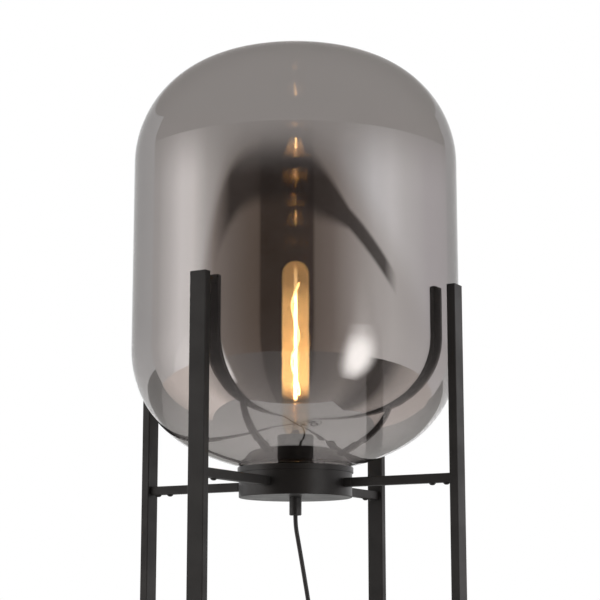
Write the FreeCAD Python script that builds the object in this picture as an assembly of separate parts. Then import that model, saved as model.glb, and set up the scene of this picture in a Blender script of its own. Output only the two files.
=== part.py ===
import FreeCAD, Part
import math
import os

# Floor lamp: a tall smoked glass shade stands on a round canister, which four cross bars
# carry between four upright legs. Millimetres, +Z up, origin on the floor under the axis.
# Legs stand at -Y (front), +X (right), +Y (rear) and -X (left).

# ---- legs: flat tube with closed ends ----
LEG_WIDTH = 20.0
LEG_DEPTH = 10.0
LEG_WALL = 1.5
LEG_EDGE_RADIUS = 1.0
LEG_TO_GLASS_GAP = 8.0
LEG_TOP = 1200.0
TOP_CAP_PLATE = 2.0
FOOT_PLATE = 5.0
CAP_PLUG_LENGTH = 12.0
CAP_PLUG_CLEARANCE = 0.2

# ---- cross bars: square tube, upper and lower ----
BAR_SIDE = 10.0
BAR_WALL = 1.5
BAR_EDGE_RADIUS = 0.8
BAR_RISE_ON_CANISTER = 15.0
LOWER_BAR_HEIGHT = 20.0
STUB_PAST_SCREW = 9.0
STUB_CLEARANCE = 0.1
ROOT_LENGTH = 10.0
SPIGOT_LENGTH = 14.0
ROOT_CHAMFER = 0.5

# ---- joint screws, driven from below into the stubs ----
SCREW_RADIUS = 2.0
SCREW_HEAD_RADIUS = 3.8
SCREW_HEAD_HEIGHT = 2.6
SCREW_HEX_RADIUS = 1.6
SCREW_HEX_DEPTH = 1.3
SCREW_TIP_INSET = 0.8
SCREW_FIT = 0.05
SCREW_WALL_CLEARANCE = 0.3
SCREW_HEAD_RIM = 0.4
SCREW_FROM_LEG = 8.0
SCREW_SPACING = 17.0

# ---- canister and its lid ----
CANISTER_RADIUS = 65.0
CANISTER_BOTTOM = 972.0
CANISTER_HEIGHT = 28.0
CANISTER_WALL = 1.5
CANISTER_EDGE_RADIUS = 1.0
LID_OVERHANG = 1.5
LID_PLATE = 2.0
LID_LIP_HEIGHT = 6.0
LID_LIP_WALL = 1.8
LID_SPIGOT_HEIGHT = 2.0
LID_SPIGOT_WALL = 1.5
LID_SPIGOT_CLEARANCE = 0.2
LUG_COUNT = 3
LUG_FIRST_ANGLE = 45.0
LUG_WIDTH = 10.0
LUG_DEPTH = 10.0
LUG_HEIGHT = 7.0
LUG_SCREW_FROM_EDGE = 3.0
LID_SCREW_RADIUS = 1.5
LID_SCREW_HEAD_RADIUS = 2.8
LID_SCREW_HEAD_HEIGHT = 1.5
LID_SCREW_LENGTH = 8.0
SLOT_WIDTH = 0.7
SLOT_DEPTH = 0.8

# ---- glass shade ----
GLASS_RADIUS = 190.0
GLASS_WALL = 3.0
GLASS_HEIGHT = 496.2
CROWN_RADIUS = 322.0
SHOULDER_RADIUS = 126.5
LOWER_CORNER_RADIUS = 128.5
BASE_CURVE_RADIUS = 275.0
NECK_LIP_CLEARANCE = 2.2
NECK_ABOVE_LIP = 1.8
NECK_FILLET = 3.0
SEAT_RING_THICKNESS = 1.5
SEAT_RING_INSET = 1.0
SEAT_RING_OUTER_CLEARANCE = 0.3
SEAT_CLEARANCE = 0.3

# ---- lampholder ----
SLEEVE_RADIUS = 20.7
SLEEVE_WALL = 1.4
SLEEVE_HEIGHT = 41.0
HOLDER_BODY_CLEARANCE = 0.3
HOLDER_BODY_INSET = 2.0
HOLDER_FLOOR_HEIGHT = 12.0
HOLDER_FLOOR_THICKNESS = 3.0
HOLDER_BODY_WALL = 4.8
THREAD_SHELL_WALL = 0.7
THREAD_SHELL_CLEARANCE = 0.1
CONTACT_HEAD_RADIUS = 4.0
CONTACT_HEAD_HEIGHT = 1.5
CONTACT_STEM_RADIUS = 1.5
CONTACT_STEM_DROP = 1.5
CONTACT_FIT = 0.05
SIDE_CONTACT_WIDTH = 3.0
SIDE_CONTACT_THICKNESS = 1.0
SIDE_CONTACT_DROP = 4.5
WIRE_WAY_WIDTH = 3.2
NIPPLE_RADIUS = 5.0
NIPPLE_BORE_RADIUS = 3.6
NIPPLE_FIT = 0.05
HOLDER_NIPPLE_DROP = 7.0
HOLDER_NIPPLE_RISE = 3.5
NUT_ACROSS_FLATS = 14.0
NUT_THICKNESS = 3.0

# ---- filament lamp ----
BULB_RADIUS = 16.0
BULB_LENGTH = 233.1
BULB_WALL = 1.0
BULB_NECK_LENGTH = 14.0
CAP_CLEARANCE = 0.5
CAP_RIDGE = 0.6
CAP_RIDGE_COUNT = 4
CAP_WALL = 0.6
CAP_LENGTH = 23.0
CAP_GLASS_CLEARANCE = 0.1
CAP_OVERLAP = 10.0
TIP_CLEARANCE = 0.4
TIP_RADIUS = 4.5
TIP_HEIGHT = 1.6
INSULATOR_INSET = 1.9
INSULATOR_HEIGHT = 3.4
STEM_ROD_RADIUS = 2.0
STEM_FLARE_LENGTH = 30.0
FILAMENT_RISE = 74.1
FILAMENT_LENGTH = 132.0
FILAMENT_CURL_RADIUS = 4.6
FILAMENT_RADIUS = 1.1
FILAMENT_TURNS = 2
SUPPORT_WIRE_RADIUS = 0.5
SUPPORT_COUNT = 3
SUPPORT_END_GAP = 0.2

# ---- cord gland, its threaded tube and what the canister holds ----
GLAND_RADIUS = 7.0
GLAND_LENGTH = 20.0
GLAND_CHAMFER = 0.8
GLAND_THREAD_DEPTH = 8.0
GLAND_NIPPLE_RISE = 8.0
WASHER_RADIUS = 9.0
WASHER_THICKNESS = 1.2
CLAMP_SCREW_RADIUS = 1.5
CLAMP_SCREW_DROP = 14.0
SHEATH_RISE = 12.0
SHEATH_CLEARANCE = 0.25
WIRE_DIAMETER = 2.0
WIRE_GAP = 0.3

# ---- cord: hangs from the gland, then lies on the floor between the legs ----
CORD_DIAMETER = 5.0
CORD_FLOOR_GAP = 0.1
HANG_HEADING = 30.0
ARC_SHARE = 0.45

# ---- stored coil and its tie ----
COIL_CENTRE_X = 116.9
COIL_CENTRE_Y = 116.3
COIL_INNER_RADIUS = 20.4
COIL_PITCH = 6.35
COIL_LAYER_STEP = 5.6
COIL_TURNS_IN = 3.0
COIL_TURNS_OUT = 2.5
COIL_START_ANGLE = 84.0
COIL_END_STRAIGHT = 5.0
COIL_SAMPLE_STEP = 1.5
TIE_WIDTH = 8.0
TIE_THICKNESS = 1.0
TIE_CLEARANCE = 0.3

# ---- foot switch ----
SWITCH_LENGTH = 62.0
SWITCH_WIDTH = 40.0
SWITCH_HEADING = 10.0
SWITCH_BASE_HEIGHT = 8.0
SWITCH_COVER_HEIGHT = 15.0
SWITCH_WALL = 2.0
SWITCH_CORNER_RADIUS = 14.0
SWITCH_TOP_FILLET = 3.5
SWITCH_INLET_CLEARANCE = 0.2
BUTTON_RADIUS = 11.0
BUTTON_CLEARANCE = 0.4
BUTTON_PROUD = 5.0
BUTTON_TRAVEL = 2.5
BUTTON_FLANGE = 1.6
BUTTON_FLANGE_THICKNESS = 1.5
BUTTON_STEM_RADIUS = 3.0
BUTTON_REST_GAP = 0.3
BUTTON_STEM_ENTRY = 1.5
BUTTON_TOP_FILLET = 2.0
SWITCH_SHEATH_LENGTH = 8.0
CONTACT_BLOCK_LENGTH = 22.0
CONTACT_BLOCK_WIDTH = 18.0
CONTACT_BLOCK_HEIGHT = 9.0
CONTACT_WELL_CLEARANCE = 0.4
SWITCH_SCREW_RADIUS = 1.5
SWITCH_SCREW_HEAD_RADIUS = 2.6
SWITCH_SCREW_HEAD_HEIGHT = 1.6
SWITCH_SCREW_FROM_SIDE = 9.0
SWITCH_SCREW_FROM_END = 13.0
SWITCH_SCREW_TIP_ROOM = 1.0
SWITCH_BOSS_RADIUS = 3.2
SWITCH_SCREW_LENGTH = 12.0

# ---- plug ----
PLUG_HEADING = 265.0
PLUG_RELIEF_LENGTH = 24.0
PLUG_RELIEF_TIP_RADIUS = 3.3
PLUG_RELIEF_ROOT_RADIUS = 4.8
PLUG_LENGTH = 34.0
PLUG_WIDTH = 35.0
PLUG_NECK_WIDTH = 16.0
PLUG_THICKNESS = 13.6
PLUG_EDGE_RADIUS = 3.0
PLUG_RIM_RADIUS = 1.5
PIN_RADIUS = 2.0
PIN_LENGTH = 19.0
PIN_SPACING = 18.6
PIN_EMBED = 6.0

# ---- sizes that follow from the ones above ----
QUARTERS = ("front", "right", "rear", "left")
FULL_TURN = 360.0
HALF_TURN = 180.0
QUARTER_TURN = 90.0
EDGE_TOLERANCE = 0.01
LEG_INNER_FACE = GLASS_RADIUS + LEG_TO_GLASS_GAP
BAR_ROOT_FACE = CANISTER_RADIUS + ROOT_LENGTH
UPPER_BAR_HEIGHT = CANISTER_BOTTOM + BAR_RISE_ON_CANISTER
STUB_LENGTH = SCREW_FROM_LEG + SCREW_SPACING + STUB_PAST_SCREW
BAR_BORE_SIDE = BAR_SIDE - 2 * BAR_WALL
STUB_SIDE = BAR_BORE_SIDE - 2 * STUB_CLEARANCE
SCREW_LENGTH = BAR_WALL + STUB_CLEARANCE + STUB_SIDE - SCREW_TIP_INSET
SCREW_WALL_HOLE_RADIUS = SCREW_RADIUS + SCREW_WALL_CLEARANCE
CANISTER_TOP = CANISTER_BOTTOM + CANISTER_HEIGHT
LID_RADIUS = CANISTER_RADIUS + LID_OVERHANG
LID_FACE = CANISTER_TOP + LID_PLATE
LIP_TOP = CANISTER_TOP + LID_LIP_HEIGHT
LIP_INNER_RADIUS = LID_RADIUS - LID_LIP_WALL
CANISTER_INNER_RADIUS = CANISTER_RADIUS - CANISTER_WALL
CANISTER_FLOOR = CANISTER_BOTTOM + CANISTER_WALL
LUG_INNER = CANISTER_INNER_RADIUS - LUG_DEPTH - LID_SPIGOT_WALL
LUG_SCREW_RADIUS_OUT = LUG_INNER + LUG_SCREW_FROM_EDGE
SEAT_TOP = LID_FACE + SEAT_RING_THICKNESS
NECK_BOTTOM = SEAT_TOP + SEAT_CLEARANCE
NECK_RADIUS = LIP_INNER_RADIUS - NECK_LIP_CLEARANCE
GLASS_TOP = NECK_BOTTOM + GLASS_HEIGHT
HOLDER_FLOOR = LID_FACE + HOLDER_FLOOR_HEIGHT
SLEEVE_TOP = LID_FACE + SLEEVE_HEIGHT
HOLDER_BODY_RADIUS = SLEEVE_RADIUS - SLEEVE_WALL - HOLDER_BODY_CLEARANCE
HOLDER_BODY_TOP = SLEEVE_TOP - HOLDER_BODY_INSET
THREAD_SHELL_RADIUS = HOLDER_BODY_RADIUS - HOLDER_BODY_WALL
SIDE_CONTACT_OFFSET = THREAD_SHELL_RADIUS - SIDE_CONTACT_THICKNESS
CONTACT_TOP = HOLDER_FLOOR + CONTACT_HEAD_HEIGHT
BULB_TIP = CONTACT_TOP + TIP_CLEARANCE
CAP_BOTTOM = BULB_TIP + TIP_HEIGHT + INSULATOR_HEIGHT
CAP_TOP = CAP_BOTTOM + CAP_LENGTH
CAP_RADIUS = THREAD_SHELL_RADIUS - THREAD_SHELL_WALL - CAP_CLEARANCE
BULB_TOP = BULB_TIP + BULB_LENGTH
FILAMENT_BOTTOM = BULB_TIP + FILAMENT_RISE
FILAMENT_TOP = FILAMENT_BOTTOM + FILAMENT_LENGTH
GLAND_BOTTOM = CANISTER_BOTTOM - GLAND_LENGTH
CORD_RADIUS = CORD_DIAMETER / 2
CORD_FLOOR_Z = CORD_RADIUS + CORD_FLOOR_GAP
INLET_Z = SWITCH_BASE_HEIGHT
COIL_LOW_Z = CORD_RADIUS + TIE_THICKNESS + TIE_CLEARANCE
COIL_HIGH_Z = COIL_LOW_Z + COIL_LAYER_STEP
COIL_OUTER_RADIUS = COIL_INNER_RADIUS + COIL_PITCH * COIL_TURNS_IN
SWITCH_TOP = SWITCH_BASE_HEIGHT + SWITCH_COVER_HEIGHT

X_AXIS = FreeCAD.Vector(1, 0, 0)
Y_AXIS = FreeCAD.Vector(0, 1, 0)
Z_AXIS = FreeCAD.Vector(0, 0, 1)
ORIGIN = FreeCAD.Vector(0, 0, 0)


def point(x, y, z):
    return FreeCAD.Vector(x, y, z)


def heading(degrees):
    angle = math.radians(degrees)
    return FreeCAD.Vector(math.cos(angle), math.sin(angle), 0)


def turned(shape, degrees):
    copy = shape.copy()
    copy.rotate(ORIGIN, Z_AXIS, degrees)
    return copy


def quarter_turn(name):
    return QUARTER_TURN * (QUARTERS.index(name) - 1)


def on_all_quarters(shape):
    return [turned(shape, quarter_turn(name)) for name in QUARTERS]


def disc(radius, bottom, height, x=0.0, y=0.0):
    return Part.makeCylinder(radius, height, point(x, y, bottom), Z_AXIS)


def ring(outer, inner, bottom, height):
    return disc(outer, bottom, height).cut(disc(inner, bottom, height))


def block(x_low, x_high, width, z_low, z_high):
    """A box that is centred on the X axis."""
    return Part.makeBox(x_high - x_low, width, z_high - z_low, point(x_low, -width / 2, z_low))


def eased(shape, radius, along):
    """Round the edges that run along one axis."""
    edges = []
    for edge in shape.Edges:
        direction = edge.tangentAt(edge.FirstParameter)
        if edge.Curve.TypeId == "Part::GeomLine" and abs(direction.dot(along)) > 0.99:
            edges.append(edge)
    return shape.makeFillet(radius, edges)


def save(name, *solids):
    shape = solids[0] if len(solids) == 1 else Part.makeCompound(list(solids))
    assert shape.isValid(), name
    shape.exportStep("parts/" + name + ".step")
    volume = sum(solid.Volume for solid in shape.Solids)
    print("%-28s %2d solids %12.1f mm3" % (name, len(shape.Solids), volume))


# ---- outlines in the radius-height plane, turned into round parts ----

def plane_point(radius, height):
    return point(radius, 0, height)


def straight(start, end):
    return Part.LineSegment(start, end).toShape()


def curve(centre_r, centre_z, radius, from_angle, to_angle):
    """An arc in the radius-height plane; angles in radians above the horizontal."""
    ends = []
    for angle in (from_angle, (from_angle + to_angle) / 2, to_angle):
        ends.append(plane_point(centre_r + radius * math.cos(angle), centre_z + radius * math.sin(angle)))
    return Part.Arc(ends[0], ends[1], ends[2]).toShape()


def revolved(edges):
    wire = Part.Wire(Part.__sortEdges__(edges))
    solid = Part.Face(wire).revolve(ORIGIN, Z_AXIS, FULL_TURN)
    return solid.Solids[0] if solid.Solids else Part.Solid(solid)


def revolved_outline(corners):
    points = [plane_point(radius, height) for radius, height in corners]
    return revolved([straight(a, b) for a, b in zip(points, points[1:] + points[:1])])


# ---- tubes along a path of straight runs and tangent arcs ----

def route_wire(points, label=None):
    edges = []
    start = points[0]
    radii = []
    for before, corner, after in zip(points, points[1:], points[2:]):
        run_in = corner - before
        run_out = after - corner
        half_turn = run_in.getAngle(run_out) / 2
        setback = ARC_SHARE * min(run_in.Length, run_out.Length)
        radius = setback / math.tan(half_turn)
        radii.append(radius)
        way_in = FreeCAD.Vector(run_in).normalize()
        way_out = FreeCAD.Vector(run_out).normalize()
        arc_start = corner - way_in * setback
        arc_end = corner + way_out * setback
        towards = (way_out - way_in).normalize()
        middle = corner + towards * (radius / math.cos(half_turn) - radius)
        edges.append(straight(start, arc_start))
        edges.append(Part.Arc(arc_start, middle, arc_end).toShape())
        start = arc_end
    edges.append(straight(start, points[-1]))
    if label:
        print(label, "arc radii", " ".join("%.0f" % radius for radius in radii))
    return Part.Wire(edges)


def tube_on(wire, start, direction, diameter):
    section = Part.Wire([Part.makeCircle(diameter / 2, start, direction)])
    return wire.makePipeShell([section], True, False)


def routed_tube(points, diameter, label=None):
    wire = route_wire(points, label)
    tube = tube_on(wire, points[0], points[1] - points[0], diameter)
    if label:
        expected = math.pi * diameter ** 2 / 4 * wire.Length
        print(label, "length %.1f, volume %.1f, section x length %.1f" % (wire.Length, tube.Volume, expected))
    return tube


def biarc_edges(start, start_way, end, end_way):
    """Two tangent arcs from one point and direction to the next."""
    chord = end - start
    ways = start_way + end_way
    spread = 2 * (1 - start_way.dot(end_way))
    if spread < 1e-9:
        return [straight(start, end)]
    across = chord.dot(ways)
    reach = (-across + math.sqrt(across ** 2 + spread * chord.dot(chord))) / spread
    first_corner = start + start_way * reach
    second_corner = end - end_way * reach
    joint = (first_corner + second_corner) * 0.5
    return [arc_by_corner(start, first_corner, joint), arc_by_corner(joint, second_corner, end)]


def arc_by_corner(start, corner, end):
    middle_of_chord = (start + end) * 0.5
    to_corner = corner - middle_of_chord
    half_turn = math.atan2(to_corner.Length, (end - start).Length / 2)
    rise = math.tan(half_turn / 2) / math.tan(half_turn)
    return Part.Arc(start, middle_of_chord + to_corner * rise, end).toShape()


def helix_tube(radius, low, high, turns, wire_radius):
    """Wire wound at a steady pitch round the Z axis."""
    around = 2 * math.pi * turns

    def spot(share):
        angle = around * share
        return point(radius * math.cos(angle), radius * math.sin(angle), low + (high - low) * share)

    def way(share):
        angle = around * share
        sideways = radius * around
        return point(-sideways * math.sin(angle), sideways * math.cos(angle), high - low).normalize()

    steps = 4 * turns
    edges = []
    for step in range(steps):
        here, there = step / steps, (step + 1) / steps
        edges += biarc_edges(spot(here), way(here), spot(there), way(there))
    return tube_on(Part.Wire(edges), spot(0), way(0), 2 * wire_radius)


# ---- frame: legs, bars, stubs, screws ----

def leg():
    bottom, top = FOOT_PLATE, LEG_TOP - TOP_CAP_PLATE
    inner, outer = LEG_INNER_FACE, LEG_INNER_FACE + LEG_DEPTH
    tube = eased(block(inner, outer, LEG_WIDTH, bottom, top), LEG_EDGE_RADIUS, Z_AXIS)
    return tube.cut(block(inner + LEG_WALL, outer - LEG_WALL, LEG_WIDTH - 2 * LEG_WALL, bottom, top))


def leg_end(plate_low, plate_high, plug_low, plug_high):
    inset = LEG_WALL + CAP_PLUG_CLEARANCE
    inner, outer = LEG_INNER_FACE, LEG_INNER_FACE + LEG_DEPTH
    plate = eased(block(inner, outer, LEG_WIDTH, plate_low, plate_high), LEG_EDGE_RADIUS, Z_AXIS)
    return plate.fuse(block(inner + inset, outer - inset, LEG_WIDTH - 2 * inset, plug_low, plug_high))


def leg_top_cap():
    seat = LEG_TOP - TOP_CAP_PLATE
    return leg_end(seat, LEG_TOP, seat - CAP_PLUG_LENGTH, seat)


def foot_glide():
    return leg_end(0, FOOT_PLATE, FOOT_PLATE, FOOT_PLATE + CAP_PLUG_LENGTH)


def screw_places():
    return [LEG_INNER_FACE - SCREW_FROM_LEG - SCREW_SPACING * step for step in range(2)]


def bar_tube(x_low, x_high, height):
    low, high = height - BAR_SIDE / 2, height + BAR_SIDE / 2
    tube = eased(block(x_low, x_high, BAR_SIDE, low, high), BAR_EDGE_RADIUS, X_AXIS)
    return tube.cut(block(x_low, x_high, BAR_BORE_SIDE, low + BAR_WALL, high - BAR_WALL))


def with_screw_holes(bar, height):
    for place in screw_places():
        bar = bar.cut(disc(SCREW_WALL_HOLE_RADIUS, height - BAR_SIDE / 2, BAR_WALL, place))
    return bar


def stub(height):
    piece = block(LEG_INNER_FACE - STUB_LENGTH, LEG_INNER_FACE, STUB_SIDE, height - STUB_SIDE / 2,
                  height + STUB_SIDE / 2)
    for place in screw_places():
        piece = piece.cut(disc(SCREW_RADIUS + SCREW_FIT, height - STUB_SIDE / 2, STUB_SIDE, place))
    return piece


def joint_screw(place, height):
    """Button head with a hexagon recess, under the bar's lower face."""
    seat = height - BAR_SIDE / 2
    dome_rise = SCREW_HEAD_HEIGHT - SCREW_HEAD_RIM
    dome_radius = (SCREW_HEAD_RADIUS ** 2 + dome_rise ** 2) / (2 * dome_rise)
    centre = seat - SCREW_HEAD_HEIGHT + dome_radius
    edge_angle = -math.acos(SCREW_HEAD_RADIUS / dome_radius)
    corners = [plane_point(0, seat - SCREW_HEAD_HEIGHT), plane_point(SCREW_HEAD_RADIUS, seat - SCREW_HEAD_RIM),
               plane_point(SCREW_HEAD_RADIUS, seat), plane_point(0, seat)]
    head = revolved([curve(0, centre, dome_radius, -math.pi / 2, edge_angle), straight(corners[1], corners[2]),
                     straight(corners[2], corners[3]), straight(corners[3], corners[0])])
    screw = head.fuse(disc(SCREW_RADIUS, seat, SCREW_LENGTH))
    recess_floor = seat - SCREW_HEAD_HEIGHT
    screw = screw.cut(hexagon(SCREW_HEX_RADIUS, recess_floor, SCREW_HEX_DEPTH))
    screw.translate(point(place, 0, 0))
    return screw


def hexagon(corner_radius, bottom, height):
    corners = [heading(60.0 * step) * corner_radius + point(0, 0, bottom) for step in range(7)]
    return Part.Face(Part.makePolygon(corners)).extrude(point(0, 0, height))


def bar_root():
    """Short welded stump on the canister wall with a spigot inside the bar."""
    low, high = UPPER_BAR_HEIGHT - BAR_SIDE / 2, UPPER_BAR_HEIGHT + BAR_SIDE / 2
    stump = eased(block(0, BAR_ROOT_FACE, BAR_SIDE, low, high), BAR_EDGE_RADIUS, X_AXIS)
    end_edges = [edge for edge in stump.Edges if edge.BoundBox.XMin > BAR_ROOT_FACE - EDGE_TOLERANCE]
    stump = stump.makeChamfer(ROOT_CHAMFER, end_edges)
    spigot = block(CANISTER_RADIUS, BAR_ROOT_FACE + SPIGOT_LENGTH, STUB_SIDE, UPPER_BAR_HEIGHT - STUB_SIDE / 2,
                   UPPER_BAR_HEIGHT + STUB_SIDE / 2)
    return stump.fuse(spigot).cut(disc(CANISTER_RADIUS, low, BAR_SIDE)).Solids[0]


# ---- canister, lid and what they hold ----

def canister():
    drum = disc(CANISTER_RADIUS, CANISTER_BOTTOM, CANISTER_HEIGHT)
    bottom_edges = [edge for edge in drum.Edges if edge.BoundBox.ZMax < CANISTER_BOTTOM + EDGE_TOLERANCE]
    drum = drum.makeFillet(CANISTER_EDGE_RADIUS, bottom_edges)
    drum = drum.cut(disc(CANISTER_INNER_RADIUS, CANISTER_FLOOR, CANISTER_HEIGHT))
    return drum.cut(disc(NIPPLE_RADIUS + NIPPLE_FIT, CANISTER_BOTTOM, CANISTER_WALL))


def lug_places():
    spacing = FULL_TURN / LUG_COUNT
    return [LUG_FIRST_ANGLE + spacing * step for step in range(LUG_COUNT)]


def lid_lug(angle):
    low = CANISTER_TOP - LID_SPIGOT_HEIGHT - LUG_HEIGHT
    high = CANISTER_TOP
    lug = block(LUG_INNER, CANISTER_RADIUS, LUG_WIDTH, low, high)
    lug = lug.common(disc(CANISTER_INNER_RADIUS, low, high - low))
    outer_clear = CANISTER_INNER_RADIUS
    inner_clear = outer_clear - LID_SPIGOT_WALL - 2 * LID_SPIGOT_CLEARANCE
    lug = lug.cut(ring(outer_clear, inner_clear, CANISTER_TOP - LID_SPIGOT_HEIGHT - LID_SPIGOT_CLEARANCE,
                       LID_SPIGOT_HEIGHT + LID_SPIGOT_CLEARANCE))
    lug = lug.cut(disc(LID_SCREW_RADIUS + SCREW_FIT, low, high - low, LUG_SCREW_RADIUS_OUT))
    return turned(lug, angle)


def lid_screw(angle):
    """Countersunk screw, flush with the lid's face."""
    neck = LID_FACE - LID_SCREW_HEAD_HEIGHT
    head = Part.makeCone(LID_SCREW_RADIUS, LID_SCREW_HEAD_RADIUS, LID_SCREW_HEAD_HEIGHT,
                         point(LUG_SCREW_RADIUS_OUT, 0, neck), Z_AXIS)
    shank = disc(LID_SCREW_RADIUS, LID_FACE - LID_SCREW_LENGTH, LID_SCREW_LENGTH - LID_SCREW_HEAD_HEIGHT,
                 LUG_SCREW_RADIUS_OUT)
    slot = block(LUG_SCREW_RADIUS_OUT - LID_SCREW_HEAD_RADIUS, LUG_SCREW_RADIUS_OUT + LID_SCREW_HEAD_RADIUS,
                 SLOT_WIDTH, LID_FACE - SLOT_DEPTH, LID_FACE)
    return turned(head.fuse(shank).cut(slot), angle)


def lid_screw_hole(angle):
    neck = LID_FACE - LID_SCREW_HEAD_HEIGHT
    sink = Part.makeCone(LID_SCREW_RADIUS + SCREW_FIT, LID_SCREW_HEAD_RADIUS + SCREW_FIT, LID_SCREW_HEAD_HEIGHT,
                         point(LUG_SCREW_RADIUS_OUT, 0, neck), Z_AXIS)
    hole = disc(LID_SCREW_RADIUS + SCREW_FIT, CANISTER_TOP, LID_PLATE, LUG_SCREW_RADIUS_OUT)
    return turned(sink.fuse(hole), angle)


def lid():
    plate = disc(LID_RADIUS, CANISTER_TOP, LID_PLATE)
    lip = ring(LID_RADIUS, LIP_INNER_RADIUS, CANISTER_TOP, LID_LIP_HEIGHT)
    spigot_radius = CANISTER_INNER_RADIUS - LID_SPIGOT_CLEARANCE
    spigot = ring(spigot_radius, spigot_radius - LID_SPIGOT_WALL, CANISTER_TOP - LID_SPIGOT_HEIGHT,
                  LID_SPIGOT_HEIGHT)
    whole = plate.fuse([lip, spigot])
    whole = whole.cut(disc(NIPPLE_RADIUS + NIPPLE_FIT, CANISTER_TOP, LID_PLATE))
    for angle in lug_places():
        whole = whole.cut(lid_screw_hole(angle))
    return whole.removeSplitter()


def seat_ring():
    outer = LIP_INNER_RADIUS - SEAT_RING_OUTER_CLEARANCE
    inner = NECK_RADIUS - GLASS_WALL - SEAT_RING_INSET
    return ring(outer, inner, LID_FACE, SEAT_RING_THICKNESS)


# ---- glass shade: one blown wall, its outside and inside drawn with the same centres ----

def glass_shade():
    base_z = LIP_TOP + NECK_ABOVE_LIP + math.sqrt(BASE_CURVE_RADIUS ** 2 - NECK_RADIUS ** 2)
    fillet_r = NECK_RADIUS + NECK_FILLET
    fillet_z = base_z - math.sqrt((BASE_CURVE_RADIUS + NECK_FILLET) ** 2 - fillet_r ** 2)
    corner_r = GLASS_RADIUS - LOWER_CORNER_RADIUS
    corner_z = base_z - math.sqrt((BASE_CURVE_RADIUS - LOWER_CORNER_RADIUS) ** 2 - corner_r ** 2)
    crown_z = GLASS_TOP - CROWN_RADIUS
    shoulder_r = GLASS_RADIUS - SHOULDER_RADIUS
    shoulder_z = crown_z + math.sqrt((CROWN_RADIUS - SHOULDER_RADIUS) ** 2 - shoulder_r ** 2)
    fillet_angle = math.atan2(base_z - fillet_z, -fillet_r)
    base_angle = math.atan2(fillet_z - base_z, fillet_r)
    corner_angle = math.atan2(corner_z - base_z, corner_r)
    shoulder_angle = math.atan2(shoulder_z - crown_z, shoulder_r)

    def wall(inset):
        side = GLASS_RADIUS - inset
        neck = NECK_RADIUS - inset
        return [
            straight(plane_point(neck, NECK_BOTTOM), plane_point(neck, fillet_z)),
            curve(fillet_r, fillet_z, NECK_FILLET + inset, math.pi, fillet_angle),
            curve(0, base_z, BASE_CURVE_RADIUS - inset, base_angle, corner_angle),
            curve(corner_r, corner_z, LOWER_CORNER_RADIUS - inset, corner_angle, 0),
            straight(plane_point(side, corner_z), plane_point(side, shoulder_z)),
            curve(shoulder_r, shoulder_z, SHOULDER_RADIUS - inset, 0, shoulder_angle),
            curve(0, crown_z, CROWN_RADIUS - inset, shoulder_angle, math.pi / 2),
        ]

    mouth = straight(plane_point(NECK_RADIUS, NECK_BOTTOM), plane_point(NECK_RADIUS - GLASS_WALL, NECK_BOTTOM))
    crown = straight(plane_point(0, GLASS_TOP), plane_point(0, GLASS_TOP - GLASS_WALL))
    return revolved(wall(0) + wall(GLASS_WALL) + [mouth, crown])


# ---- lampholder ----

def holder_sleeve():
    tube = ring(SLEEVE_RADIUS, SLEEVE_RADIUS - SLEEVE_WALL, LID_FACE, SLEEVE_HEIGHT)
    top_edges = [edge for edge in tube.Edges
                 if edge.BoundBox.ZMin > SLEEVE_TOP - EDGE_TOLERANCE
                 and edge.BoundBox.XMax > SLEEVE_RADIUS - EDGE_TOLERANCE]
    return tube.makeFillet(SLEEVE_WALL / 3, top_edges)


def holder_body():
    body = disc(HOLDER_BODY_RADIUS, LID_FACE, HOLDER_BODY_TOP - LID_FACE)
    well = disc(THREAD_SHELL_RADIUS + THREAD_SHELL_CLEARANCE, HOLDER_FLOOR, HOLDER_BODY_TOP - HOLDER_FLOOR)
    below = disc(NIPPLE_RADIUS + NIPPLE_FIT, LID_FACE, HOLDER_FLOOR_HEIGHT - HOLDER_FLOOR_THICKNESS)
    stem_hole = disc(CONTACT_STEM_RADIUS + CONTACT_FIT, LID_FACE, HOLDER_FLOOR_HEIGHT)
    side_hole = side_contact_box(CONTACT_FIT)
    wire_way = block(0, SIDE_CONTACT_OFFSET + SIDE_CONTACT_THICKNESS, WIRE_WAY_WIDTH,
                     LID_FACE, HOLDER_FLOOR - HOLDER_FLOOR_THICKNESS)
    return body.cut([well, below, stem_hole, side_hole, wire_way])


def side_contact_box(grow):
    low = HOLDER_FLOOR - HOLDER_FLOOR_THICKNESS - SIDE_CONTACT_DROP
    return block(SIDE_CONTACT_OFFSET - grow, SIDE_CONTACT_OFFSET + SIDE_CONTACT_THICKNESS + grow,
                 SIDE_CONTACT_WIDTH + 2 * grow, low, HOLDER_FLOOR)


def thread_shell():
    """Rolled metal screw shell that grips the lamp cap."""
    bottom = HOLDER_FLOOR
    height = HOLDER_BODY_TOP - HOLDER_FLOOR
    shell = ring(THREAD_SHELL_RADIUS, THREAD_SHELL_RADIUS - THREAD_SHELL_WALL, bottom, height)
    return shell


def centre_contact():
    head = disc(CONTACT_HEAD_RADIUS, HOLDER_FLOOR, CONTACT_HEAD_HEIGHT)
    stem = disc(CONTACT_STEM_RADIUS, HOLDER_FLOOR - HOLDER_FLOOR_THICKNESS - CONTACT_STEM_DROP,
                HOLDER_FLOOR_THICKNESS + CONTACT_STEM_DROP)
    return head.fuse(stem)


def hollow_thread(bottom, top):
    return ring(NIPPLE_RADIUS, NIPPLE_BORE_RADIUS, bottom, top - bottom)


def hex_nut(bottom):
    corner_radius = NUT_ACROSS_FLATS / math.sqrt(3)
    return hexagon(corner_radius, bottom, NUT_THICKNESS).cut(
        disc(NIPPLE_RADIUS + NIPPLE_FIT, bottom, NUT_THICKNESS))


# ---- filament lamp ----

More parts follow.
